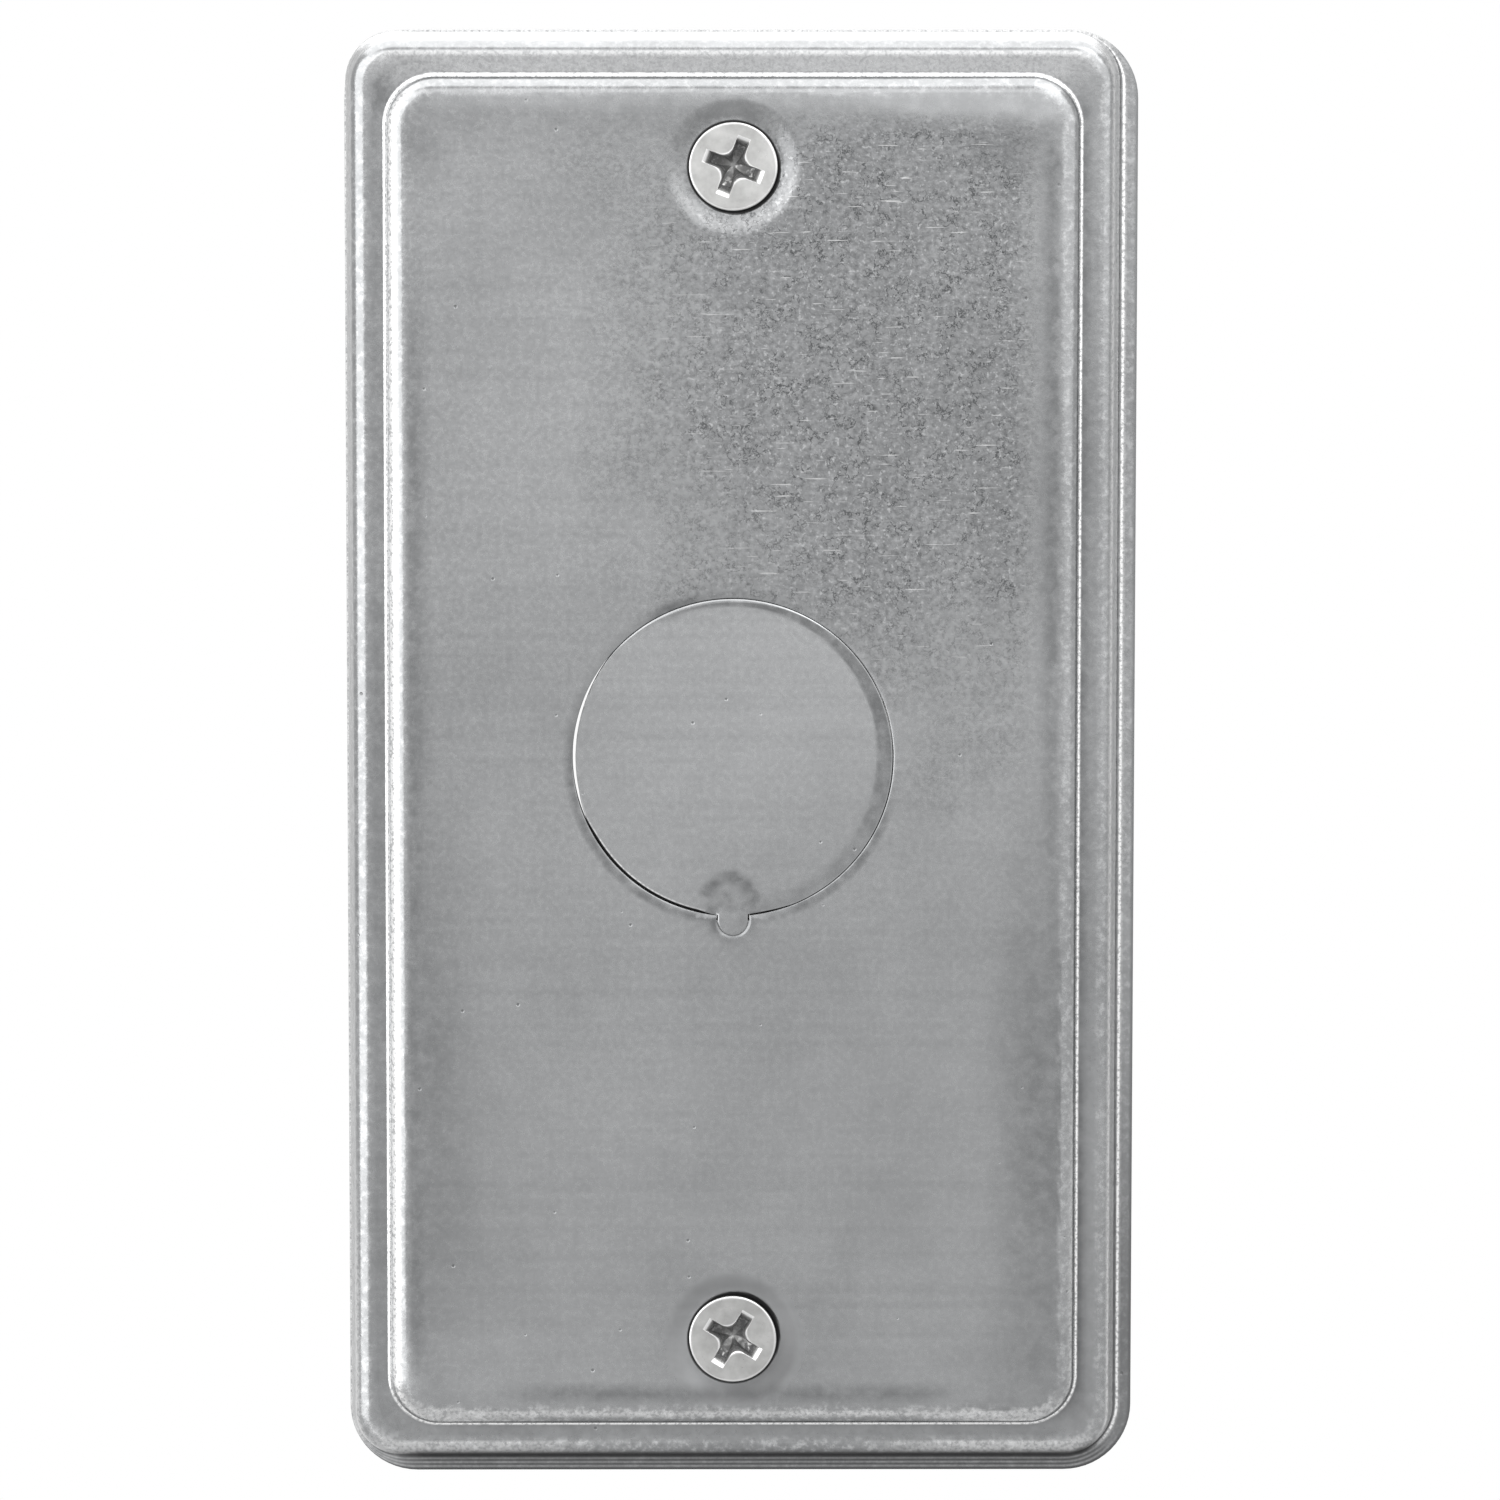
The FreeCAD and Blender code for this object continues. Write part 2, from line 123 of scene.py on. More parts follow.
class Kind(Enum):
    """Kinds of node in a recipe, save arithmetic: type, settings, inputs in order and output."""

    PLACE = ("ShaderNodeTexCoord", {}, (), "Object")
    POSITION = ("GeometryNodeInputPosition", {}, (), 0)
    MARK = ("ShaderNodeAttribute", {}, (), "Fac")
    RAYS = ("ShaderNodeLightPath", {}, (), 0)
    APART = ("ShaderNodeSeparateXYZ", {}, (0,), 0)
    JOIN = ("ShaderNodeCombineXYZ", {}, (0, 1, 2), 0)
    PARTS = ("ShaderNodeSeparateColor", {}, (0,), 0)
    SPREAD = ("ShaderNodeMapRange", {}, (0, 1, 2, 3, 4), 0)
    GRAIN = ("ShaderNodeTexNoise", {}, ("Vector", "Scale", "Detail", "Roughness"), "Fac")
    CELLS = ("ShaderNodeTexVoronoi", {}, ("Vector", "Scale"), "Distance")
    MIX = ("ShaderNodeMix", {"data_type": "RGBA"}, (0, 6, 7), 2)
    MAP = ("ShaderNodeMapping", {}, ("Vector", "Scale", "Rotation"), 0)
    SCALED = ("ShaderNodeVectorMath", {"operation": "SCALE"}, (0, "Scale"), 0)
    LENGTH = ("ShaderNodeVectorMath", {"operation": "LENGTH"}, (0,), "Value")
    VECTORS = ("ShaderNodeVectorMath", {}, (0, 1, 2), 0)
    BUMP = ("ShaderNodeBump", {}, ("Height", "Strength", "Distance"), 0)
    METAL = ("ShaderNodeBsdfPrincipled", {}, ("Base Color", "Metallic", "Roughness", "Normal"), 0)
    MATT = ("ShaderNodeBsdfDiffuse", {}, ("Color",), 0)
    GLOW = ("ShaderNodeEmission", {}, ("Color", "Strength"), 0)
    SKY = ("ShaderNodeBackground", {}, ("Color", "Strength"), 0)
    BOTH = ("ShaderNodeMixShader", {}, (0, 1, 2), 0)
    SURFACE = ("ShaderNodeOutputMaterial", {}, ("Surface",), 0)
    WORLD = ("ShaderNodeOutputWorld", {}, ("Surface",), 0)
    GRID = ("GeometryNodeMeshGrid", {}, ("Size X", "Size Y", "Vertices X", "Vertices Y"), "Mesh")
    PUT = ("GeometryNodeSetPosition", {}, ("Geometry", "Position"), 0)
    WELD = ("GeometryNodeMergeByDistance", {}, ("Geometry", "Distance"), 0)
    REAL = ("GeometryNodeRealizeInstances", {}, ("Geometry",), 0)
    DRESS = ("GeometryNodeSetMaterial", {}, ("Geometry", "Material"), 0)
    RESULT = ("NodeGroupOutput", {}, ("Geometry",), 0)


@dataclass
class Recipe:
    """Grows one node tree from steps, each a word and what it works on.

    The word is a Kind or, for arithmetic, an operation. What it works on is a value, a step of its
    own or the name of an earlier step, with a dot and an output where that isn't the usual one.
    Settings come first, as a dictionary. Arithmetic is held between 0 and 1 where held is set.
    """

    tree: bpy.types.NodeTree
    held: bool = True

    def __post_init__(self) -> None:
        """Start from an empty tree, with its group inputs as named steps where it has them."""
        self.tree.nodes.clear()
        self.steps: dict[str, bpy.types.NodeSocket] = {}
        if self.tree.bl_idname == "GeometryNodeTree":
            given = add_node(self.tree, "NodeGroupInput").outputs
            self.steps = {socket.name: socket for socket in given if socket.name}

    def make(self, step: Any) -> Any:
        """Turn a step into the socket that it ends in, and leave a plain value as it is."""
        if isinstance(step, str):
            name, _, output = step.partition(".")
            found = self.steps[name]
            return found.node.outputs[output] if output else found
        if not isinstance(step, tuple) or not isinstance(step[0], str):
            return step
        word, *given = step
        if word in Kind.__members__:
            kind, settings, keys, output = Kind[word].value
        else:
            kind, settings, keys, output = (
                "ShaderNodeMath", {"operation": word, "use_clamp": self.held}, (0, 1, 2), 0)
        if given and isinstance(given[0], dict):
            settings = {**settings, **given.pop(0)}
        node = add_node(self.tree, kind, settings,
                        {key: self.make(one) for key, one in zip(keys, given)})
        return node.outputs[output] if len(node.outputs) else None

    def add(self, **steps: Any) -> None:
        """Make steps in order, and keep each under its name."""
        for name, step in steps.items():
            self.steps[name] = self.make(step)


FREE = {"use_clamp": False}


def link(piece: bpy.types.Object) -> None:
    """Put an object in the scene."""
    bpy.context.scene.collection.objects.link(piece)


def new_material(name: str) -> bpy.types.Material:
    """Make a material with a node tree."""
    material = bpy.data.materials.new(name)
    material.use_nodes = True
    return material


def smooth_step(t: np.ndarray) -> np.ndarray:
    """Ease from 0 to 1 as t goes from 0 to 1."""
    t = np.clip(t, 0, 1)
    return t * t * (3 - 2 * t)


def hill(value: np.ndarray, middle: float, half: float) -> np.ndarray:
    """A soft bump of height 1 about a middle, gone at half to each side."""
    return smooth_step(1 - np.abs(value - middle) / half)


def unit(angle: np.ndarray) -> np.ndarray:
    """Points of the unit circle at angles in radians."""
    return np.stack([np.cos(angle), np.sin(angle)], 1)


def bearing_of(plan: np.ndarray, middle: Sequence[float] = (0, 0)) -> np.ndarray:
    """Angle in radians at which each point is seen from a middle."""
    return np.arctan2(plan[:, 1] - middle[1], plan[:, 0] - middle[0])


def degrees_round(plan: np.ndarray) -> np.ndarray:
    """Bearing of each point from the middle in degrees, from 0 to 360."""
    return np.degrees(bearing_of(plan)) % 360


def distance_from(plan: np.ndarray, middle: Sequence[float] = (0, 0)) -> np.ndarray:
    """Distance of each point from a middle."""
    return np.hypot(plan[:, 0] - middle[0], plan[:, 1] - middle[1])


# The mesh builder ---------------------------------------------------------------------------------


class SheetMesh:
    """Gathers points, faces and marks, and makes one welded mesh of them."""

    def __init__(self) -> None:
        """Start with nothing in it."""
        self.points: list[np.ndarray] = []
        self.faces: list[tuple[int, ...]] = []
        self.marks: dict[Mark, list[np.ndarray]] = {mark: [] for mark in Mark}
        self.count = 0

    def add_points(
        self, plan: np.ndarray, height: np.ndarray | float, **marks: np.ndarray | float
    ) -> int:
        """Add points by their plan and height.

        Args:
            plan: X and Z of each point.
            height: Height of each over the rim, or one for all.
            marks: Values of the marks that aren't 0, by name.

        Returns:
            Index of the first point added.
        """
        number = len(plan)
        heights = np.broadcast_to(height, (number,))
        self.points.append(np.stack([plan[:, 0], -heights, plan[:, 1]], 1))
        for mark, values in self.marks.items():
            values.append(np.array(np.broadcast_to(marks.get(mark.value, 0.0), (number,)), float))
        first = self.count
        self.count += number
        return first

    def add_band(self, first: int, second: int, number: int) -> None:
        """Join two closed loops of as many points with quads, metal on the left of the first."""
        for i in range(number):
            j = (i + 1) % number
            self.faces.append((first + i, first + j, second + j, second + i))

    def add_bands(self, starts: Sequence[int], number: int) -> None:
        """Join closed loops of as many points, one after another."""
        for first, second in zip(starts, starts[1:]):
            self.add_band(first, second, number)

    def add_skin(self, triangles: Iterable[Sequence[int]], first: int, faces_back: bool) -> None:
        """Add triangles that are anticlockwise from the front, turned round for a back skin."""
        for triangle in triangles:
            face = tuple(first + i for i in triangle)
            self.faces.append(face[::-1] if faces_back else face)

    def build(self, name: str, crease: float) -> bpy.types.Object:
        """Weld the points and make an object of them in metres.

        Args:
            name: Name of the piece.
            crease: Angle in degrees past which an edge is sharp.

        Returns:
            The new object, at the origin.
        """
        mesh = bpy.data.meshes.new(name)
        mesh.from_pydata((np.concatenate(self.points) * MM).tolist(), [], self.faces)
        for mark, values in self.marks.items():
            layer = mesh.attributes.new(mark.value, "FLOAT", "POINT")
            layer.data.foreach_set("value", np.concatenate(values).astype(np.float32))
        shape = bmesh.new()
        shape.from_mesh(mesh)
        bmesh.ops.remove_doubles(shape, verts=shape.verts, dist=1e-4 * MM)
        bmesh.ops.dissolve_degenerate(shape, edges=shape.edges, dist=1e-5 * MM)
        open_edges = sum(1 for edge in shape.edges if not edge.is_manifold)
        if open_edges:
            LOG.warning("%s has %d edges that aren't closed", name, open_edges)
        shape.to_mesh(mesh)
        shape.free()
        mesh.shade_smooth()
        mesh.set_sharp_from_angle(angle=math.radians(crease))
        piece = bpy.data.objects.new(name, mesh)
        link(piece)
        return piece


# The cover ----------------------------------------------------------------------------------------


@dataclass(frozen=True)
class Ring:
    """One closed loop of the cover's section, with what was done to the metal there and its painted
    shade and highlights.
    """

    plan: np.ndarray
    height: np.ndarray | float
    bend: np.ndarray | float = 0.0
    cut: float = 0.0
    coined: np.ndarray | float = 0.0
    rub: np.ndarray | float = 0.0


@dataclass(frozen=True)
class Knockout:
    """The round blank that still hangs on its tab, and the slit round it."""

    radius: float = 11.3
    slit: float = 0.05
    crack: float = 0.15
    tab_half: float = 1.05
    tab_gap: float = 0.12
    tab_middle: float = -11.6
    lift: float = 0.09
    bevel: float = 0.17
    mark: tuple[float, float] = (-0.2, -10.2)
    groove: float = 0.08
    step: float = 0.25

    def core(self, angle: np.ndarray) -> np.ndarray:
        """Radius of the blank at an angle, less where the slit gapes as a crack."""
        degrees = np.degrees(angle) % 360
        gape = smooth_step((degrees - 134) / 30) * smooth_step((204 - degrees) / 14)
        gape = gape + 1.1 * smooth_step((degrees - 196) / 16) * smooth_step((264 - degrees) / 8)
        gape = gape + 0.6 * hill(degrees, 281, 11) ** 0.5
        return self.radius - self.slit - self.crack * gape

    def tab_reach(self, plan: np.ndarray) -> np.ndarray:
        """Distance of each point from the tab's middle line."""
        below = np.minimum(plan[:, 1] - self.tab_middle, 0)
        return np.where(plan[:, 1] > -self.radius / 2, self.radius, np.hypot(plan[:, 0], below))

    def depth_inside(self, plan: np.ndarray) -> np.ndarray:
        """How far each point lies inside the blank and its tab, negative outside."""
        radius = distance_from(plan)
        angle = bearing_of(plan)
        return np.maximum(self.core(angle) - radius, self.tab_half - self.tab_reach(plan))

    def depth_outside(self, plan: np.ndarray) -> np.ndarray:
        """How far each point lies in the panel outside the slit, negative in it or inside."""
        radius = distance_from(plan)
        tab = self.tab_reach(plan) - self.tab_half - self.tab_gap
        return np.minimum(radius - self.radius, tab)

    def shift(self, plan: np.ndarray) -> np.ndarray:
        """How far the blank has moved towards the viewer, hinged on its tab."""
        rise = np.clip((plan[:, 1] + 12.8) / (12.8 + self.radius), 0, 1)
        return self.lift * rise * (1 - 0.25 * plan[:, 0] / self.radius)

    def pinch(self, plan: np.ndarray) -> np.ndarray:
        """The outline half way through the sheet, where the slit nearly closes but at the left."""
        radius = distance_from(plan)
        degrees = degrees_round(plan)
        closed = 1 - smooth_step((degrees - 130) / 10) * smooth_step((206 - degrees) / 8)
        inner = (radius < self.radius - 1e-3) & (self.tab_reach(plan) > self.tab_half + 0.05)
        wider = radius + np.where(inner, closed * (self.radius - 0.015 - radius), 0)
        pinched = plan * (wider / radius)[:, None]
        low = np.abs(plan[:, 1] + self.radius) < 0.5
        of_tab = (np.abs(np.abs(plan[:, 0]) - self.tab_half) < 1e-3) & low
        pinched[of_tab, 0] *= (self.tab_half + self.tab_gap - 0.015) / self.tab_half
        return pinched

    def outline(self) -> np.ndarray:
        """The slit's closed outline, with the metal on its left."""
        far = self.tab_half + self.tab_gap
        start = math.asin(far / self.radius) - math.pi / 2
        steps = int(2 * math.pi * self.radius / self.step)
        angles = np.linspace(start, math.pi - start, steps)
        outer = self.radius * unit(angles)
        inner_start = math.asin(self.tab_half / (self.radius - self.slit)) - math.pi / 2
        angles = np.linspace(math.pi - inner_start, inner_start, steps)
        inner = self.core(angles)[:, None] * unit(angles)
        inner[0, 0], inner[-1, 0] = -self.tab_half, self.tab_half
        low = self.tab_middle
        left = np.array([[-far, (outer[-1, 1] + low) / 2], [-far, low], [-self.tab_half, low]])
        left = np.vstack([left, [-self.tab_half, (inner[0, 1] + low) / 2]])
        right = left[::-1] * (-1, 1)
        return np.vstack([outer, left, inner, right])[::-1]

    def holds(self, plan: np.ndarray) -> np.ndarray:
        """Whether each point lies in the open slit."""
        return (
            (self.depth_inside(plan) < 0)
            & (self.depth_outside(plan) < 0)
            & (plan[:, 1] > self.tab_middle)
        )


@dataclass(frozen=True)
class Cover:
    """The pressed cover: lip, walls, ledge, raised panel, dimples and knockout, as one sheet."""

    width: float = 54.5
    height: float = 101.7
    depth: float = 6.35
    sheet: float = 1.2
    bend: float = 1.0
    wall_lean: float = 0.42
    shoulder: float = 1.2
    inside_bend: float = 0.25
    wall_corner: float = 3.5
    step_inset: float = 2.95
    step_rise: float = 1.6
    step_corner: float = 3.4
    foot: float = 0.25
    lip_half: tuple[float, float] = (27.95, 51.55)
    lip_shift: tuple[float, float] = (0.6, -0.6)
    lip_corner: float = 4.8
    soft_tilt: float = 4.0
    soft_width: float = 1.5
    dish: float = 0.1
    hole: float = 1.9
    seat: float = 3.275
    seat_depth: float = 0.35
    dimple: float = 4.8
    land: float = 0.2
    knockout: Knockout = Knockout()
    corner_steps: int = 14
    side_steps: tuple[int, int] = (34, 66)
    grid: float = 1.1

    def loop(
        self, half: Sequence[float], corner: float, shift: Sequence[float] = (0, 0)
    ) -> np.ndarray:
        """A rounded rectangle, anticlockwise from the front, with the same count for any size."""
        wide, high = half[0] - corner, half[1] - corner
        short, long = self.side_steps
        quarter = np.arange(self.corner_steps) / self.corner_steps * math.pi / 2
        parts = []
        starts = (((half[0], -high), (half[0], high), long),
                  ((wide, half[1]), (-wide, half[1]), short),
                  ((-half[0], high), (-half[0], -high), long),
                  ((-wide, -half[1]), (wide, -half[1]), short))
        middles = ((wide, high), (-wide, high), (-wide, -high), (wide, -high))
        for turn, ((a, b, steps), middle) in enumerate(zip(starts, middles)):
            share = (np.arange(steps) / steps)[:, None]
            parts.append(np.array(a) * (1 - share) + np.array(b) * share)
            angle = quarter + turn * math.pi / 2
            parts.append(np.array(middle) + corner * unit(angle))
        return np.concatenate(parts) + np.array(shift)

    def half(self, inset: float) -> np.ndarray:
        """Half the cover's width and height, less an inset."""
        return np.array([self.width / 2 - inset, self.height / 2 - inset])

    def inset_loop(self, inset: float) -> np.ndarray:
        """The outline of the walls or the step, drawn in by an inset."""
        bend_end = self.wall_lean + self.bend
        ledge_end = self.step_inset - self.foot
        if inset <= bend_end:
            corner = self.wall_corner - inset
        elif inset >= ledge_end:
            corner = self.step_corner - (inset - self.step_inset)
        else:
            first = self.wall_corner - bend_end
            last = self.step_corner + self.foot
            corner = first + (last - first) * (inset - bend_end) / (ledge_end - bend_end)
        return self.loop(self.half(inset), max(corner, 0.3))

    def edge_distance(self, plan: np.ndarray, inset: float) -> np.ndarray:
        """How far each point lies inside the outline drawn in by an inset."""
        corner = self.step_corner - (inset - self.step_inset)
        over = np.abs(plan) - (self.half(inset) - corner)
        outside = np.hypot(*np.maximum(over, 0).T)
        return corner - outside - np.minimum(np.max(over, 1), 0)

    @property
    def panel_inset(self) -> float:
        """Where the shoulder's bend ends and the softly crowned panel begins."""
        return self.step_inset + self.shoulder * (1 - math.sin(math.radians(self.soft_tilt)))

    @property
    def back_inset(self) -> float:
        """Where the panel's flat back begins."""
        return self.step_inset + self.sheet + self.inside_bend

    @property
    def riser_top(self) -> float:
        """Height at which the step's riser turns over into the shoulder."""
        tilt = math.radians(self.soft_tilt)
        return self.depth - math.tan(tilt) * self.soft_width / 2 - self.shoulder * math.cos(tilt)

    def softness(self, plan: np.ndarray) -> np.ndarray:
        """How much more the panel's edge is rounded off than elsewhere: most at the upper right."""
        x, z = plan.T
        upper = smooth_step((x - 8) / 13) * smooth_step((z - 16) / 24)
        lower = 0.3 * smooth_step((-x - 15) / 7) * smooth_step((-z - 38) / 8)
        return np.maximum(upper, lower)

    def shoulder_end(self, plan: np.ndarray) -> tuple[np.ndarray, np.ndarray, np.ndarray]:
        """How the shoulder's bend runs out into the panel.

        Args:
            plan: Points on or inside the end of the bend.

        Returns:
            For each point the angle at which the bend ends, the panel's slope there, and the
            width over which that slope eases off.
        """
        soft = self.softness(plan)
        turn = np.radians(self.soft_tilt + 16 * soft)
        width = self.soft_width + 1.0 * soft
        run = self.panel_inset - self.step_inset
        share = np.tan(turn) * (1 - np.sin(turn)) / (run * np.cos(turn))
        slope = (self.depth - self.riser_top) * share / (1 + share * width / 2)
        return turn, slope, width

    def waves(self, plan: np.ndarray) -> np.ndarray:
        """Slow unevenness of the pressed sheet."""
        return np.array([
            0.035 * noise.noise((x / 17, z / 23, 3.1)) + 0.012 * noise.noise((x / 6, z / 8, 7.7))
            for x, z in plan
        ])

    def screw_distance(self, plan: np.ndarray) -> np.ndarray:
        """Distance of each point from the nearer screw's axis."""
        return np.hypot(plan[:, 0], np.abs(plan[:, 1]) - SCREW_HEIGHT)

    def front_height(self, plan: np.ndarray) -> np.ndarray:
        """Height of the panel's face."""
        edge = self.edge_distance(plan, self.panel_inset)
        top = np.full(len(plan), self.depth)
        slope, width = self.shoulder_end(plan)[1:]
        top -= slope * width / 2 * (1 - np.clip(edge / width, 0, 1)) ** 2
        top -= self.dish * smooth_step(edge / 16)
        fade = np.clip(edge / 3, 0, 1)
        around = self.screw_distance(plan)
        uneven = 0.7 + 0.3 * self.loose_side(plan)
        top -= uneven * self.seat_depth * (1 - smooth_step((around - 3.35) / (self.dimple - 3.35)))
        top -= np.clip(self.seat - around, 0, None) / CONE_SLOPE
        top -= self.gap_beside_head(plan, around)
        fade *= np.clip((around - self.seat) / 2, 0, 1)
        blank = self.knockout
        inside = blank.depth_inside(plan)
        outside = blank.depth_outside(plan)
        fade *= np.clip(np.abs(outside) / 2, 0.25, 1)
        top += self.waves(plan) * fade
        in_blank = inside > -1e-6
        in_panel = outside > -1e-6
        top += np.where(in_blank, self.blank_offset(plan, inside), 0)
        top -= np.where(in_panel, 0.04 * np.clip(1 - outside / 0.6, 0, 1) ** 2, 0)
        top -= np.where(in_panel, 0.03 * np.clip(1 - outside / 0.05, 0, 1), 0)
        top -= np.where(~in_blank & ~in_panel, blank.groove, 0)
        return np.minimum(top, self.depth)

    def loose_side(self, plan: np.ndarray) -> np.ndarray:
        """Cosine of each point's bearing from the side where the nearer screw's head stands off."""
        upper = plan[:, 1] > 0
        bearing = np.arctan2(plan[:, 1] - np.where(upper, 1, -1) * SCREW_HEIGHT, plan[:, 0])
        return np.cos(bearing - np.radians(np.where(upper, -52, 48)))

    def gap_width(self, plan: np.ndarray) -> np.ndarray:
        """How much wider the seat is, from wear, on the side where each screw's head stands off."""
        return np.where(plan[:, 1] > 0, 0.16, 0.24) * np.clip(self.loose_side(plan), 0, 1) ** 1.5

    def gap_beside_head(self, plan: np.ndarray, around: np.ndarray) -> np.ndarray:
        """Extra depth of the seat on the side where each screw's head doesn't sit close."""
        wide = self.gap_width(plan)
        reach = np.clip(self.seat + wide - around, 0, wide)
        return reach / CONE_SLOPE * smooth_step((around - 2.3) / 0.7)

    def blank_offset(self, plan: np.ndarray, inside: np.ndarray) -> np.ndarray:
        """How far the blank lies off the panel's face, with its bevel, soft rim and punch mark."""
        blank = self.knockout
        tilt = blank.shift(plan)
        angle = degrees_round(plan)
        side = np.maximum(hill(angle, 28, 100), hill(angle, 388, 100))
        rim = -0.03 * side * hill(inside, 0.2, 0.7)
        round_off = 0.2 + 0.8 * hill(angle, 95, 50)
        bevel = 0.13 * round_off * np.clip(1 - inside / (blank.bevel * round_off), 0, 1) ** 1.5
        mark = distance_from(plan, blank.mark)
        dent = 0.035 * smooth_step(1 - (mark - 1.0) / 1.4) * (plan[:, 1] > -11.4)
        dent = dent * smooth_step((plan[:, 1] + 11.4) / 0.8)
        return tilt - rim - bevel - dent

    def back_height(self, plan: np.ndarray) -> np.ndarray:
        """Height of the panel's back."""
        top = np.full(len(plan), self.depth - self.sheet)
        around = self.screw_distance(plan)
        top -= self.dish * smooth_step(self.edge_distance(plan, self.panel_inset) / 16)
        low = self.depth - self.seat_depth - (self.seat - self.hole) / CONE_SLOPE
        low -= self.land
        top = low + (top - low) * smooth_step((around - 3.05) / 1.75)
        blank = self.knockout
        inside = blank.depth_inside(plan)
        lift = blank.shift(plan)
        top += np.where(inside > -1e-6, lift,
                        lift * np.clip(1 + inside / 0.3, 0, 1) * (plan[:, 1] < -11.5))
        mark = distance_from(plan, blank.mark)
        top -= 0.04 * smooth_step(1 - mark / 2.6) * smooth_step((plan[:, 1] + 11.2) / 0.8)
        return top

    def rub(self, plan: np.ndarray) -> np.ndarray:
        """Darkening of the face: painted shade in a band inside the blank's rim and outside the
        slit, a smudge round the punch's mark, and patches along the panel's edges and in three
        corners.
        """
        inside = self.knockout.depth_inside(plan)
        angle = degrees_round(plan)
        turned = (angle + 90) % 360 - 90
        # The band is half a millimetre wide at the top, and wide and soft at the lower right.
        steps = (-85, -60, -30, 0, 30, 60, 90, 112, 130)
        wide = np.interp(turned, steps, (0.8, 0.95, 1.1, 1.1, 0.9, 0.65, 0.48, 0.4, 0.3))
        soft = np.interp(turned, steps, (1.0, 1.0, 0.6, 0.25, 0.2, 0.2, 0.2, 0.2, 0.2))
        side = np.interp(turned, steps, (0.35, 0.5, 0.7, 0.95, 1.0, 1.0, 1.0, 0.7, 0.0))
        band = (side * smooth_step((inside - 0.03) / 0.08)
                * smooth_step((wide + soft / 2 - inside) / soft))
        band = np.maximum(band, 0.45 * hill(angle, 112, 12) * hill(inside, 0.2, 0.6))
        mark = distance_from(plan, self.knockout.mark)
        around = np.degrees(bearing_of(plan, self.knockout.mark))
        upper = smooth_step((around + 25) / 40) * smooth_step((200 - around) / 40)
        close = plan * (mark < 3.2)[:, None]
        blotch = np.array([noise.noise((x / 0.7, z / 0.7, 1.7)) for x, z in close])
        smudge = (0.35 + 0.5 * upper) * hill(mark, 1.75, 0.75)
        smudge = smudge + 0.45 * smooth_step((2.1 - mark) / 0.6)
        smudge = smudge * np.clip(0.85 + 1.7 * blotch, 0.1, 1.4) * (mark < 3.1)
        smudge = smudge * (inside > 0) * smooth_step((plan[:, 1] + 11.7) / 0.9)
        # Painted shade in a halo outside the slit, strongest at the lower left and lower right.
        outside = self.knockout.depth_outside(plan)
        left = np.maximum(hill(angle, 226, 85), 0.8 * hill(angle, 112, 14))
        lower = np.maximum(left, hill(angle, 310, 50))
        halo = (0.12 + 1.9 * lower) * np.clip(1.2 - outside / 0.65, 0, 1)
        halo = np.maximum(halo, 1.6 * lower * np.clip(1 - outside / 0.15, 0, 1)) * (inside < 0)
        # Darker towards the panel's edges at the sides, top and bottom, and in three corners.
        border = self.edge_distance(plan, self.panel_inset)
        x, z = plan.T
        where = (0.8 * smooth_step((-x - 18) / 3) * smooth_step((42 - z) / 20)
                 * smooth_step((z + 49) / 9))
        right = smooth_step((x - 18) / 3) * smooth_step((46 - z) / 6) * smooth_step((z + 49) / 9)
        where = where + right * (0.6 + 0.35 * smooth_step(z / 20))
        edging = where * smooth_step((2.1 - border) / 1.4) * smooth_step((border - 0.05) / 0.4)
        bottom = 0.8 * smooth_step((-z - 42) / 3) * hill(border, 1.2, 1.0)
        edging += bottom * smooth_step((19 - np.abs(x)) / 8)
        edging += 0.5 * smooth_step((z - 40) / 3) * smooth_step((4.0 - border) / 2.5)
        wide_left = 0.65 * smooth_step((-x - 14) / 6) * hill(z, -22, 28)
        wide_right = 0.75 * smooth_step((x - 14) / 6) * hill(z, -27, 36)
        edging = np.maximum(edging, (wide_left + wide_right) * smooth_step((6.5 - border) / 5))
        corners = 0.75 * smooth_step(1.2 - np.hypot(x - 19.6, z - 43.8) / 3.6)
        corners += 0.6 * smooth_step(1 - np.hypot(x - 21.2, z + 43.2) / 3.4)
        corners += 0.3 * smooth_step(1 - np.hypot(x + 21.5, z + 44.5) / 3.0)
        marks = (band, smudge, halo, edging, corners)
        return np.clip(np.max(marks, 0), 0, 1)

    def skin(self, mesh: SheetMesh, boundary: np.ndarray, back: bool) -> list[np.ndarray]:
        """Mesh the panel's face or back inside a boundary, with its holes left open.

        Args:
            mesh: Builder that takes the skin.
            boundary: Closed outline of the skin, anticlockwise from the front.
            back: Whether this is the back skin.

        Returns:
            The closed outlines of its holes: both screw holes and the slit.
        """
        ring_steps = 96
        turn = np.linspace(0, 2 * math.pi, ring_steps, endpoint=False)
        circle = np.stack([np.cos(turn), -np.sin(turn)], 1)
        holes = [circle * self.hole + (0, side * SCREW_HEIGHT) for side in (1, -1)]
        slit = self.knockout.outline()
        outlines = [boundary, *holes, slit]
        fixed = np.concatenate(outlines)
        edges = []
        start = 0
        for outline in outlines:
            number = len(outline)
            edges += [(start + i, start + (i + 1) % number) for i in range(number)]
            start += number
        extra = []
        if back:
            radii = (2.5, 3.0, 3.15, 3.4, 3.7, 4.0, 4.3, 4.6, 4.85)
        else:
            radii = (2.2, 2.6, 3.0, 3.2, self.seat, 3.34, 3.42, 3.5, 3.58, 3.66, 3.8, 4.0, 4.2, 4.4,
                     4.6, 4.8, 4.97, 5.3)
        for side in (1, -1):
            for radius in radii:
                extra.append(circle * radius + (0, side * SCREW_HEIGHT))
        angles = np.arctan2(slit[:, 1], slit[:, 0])
        on_arc = slit[:, 1] > -11.0
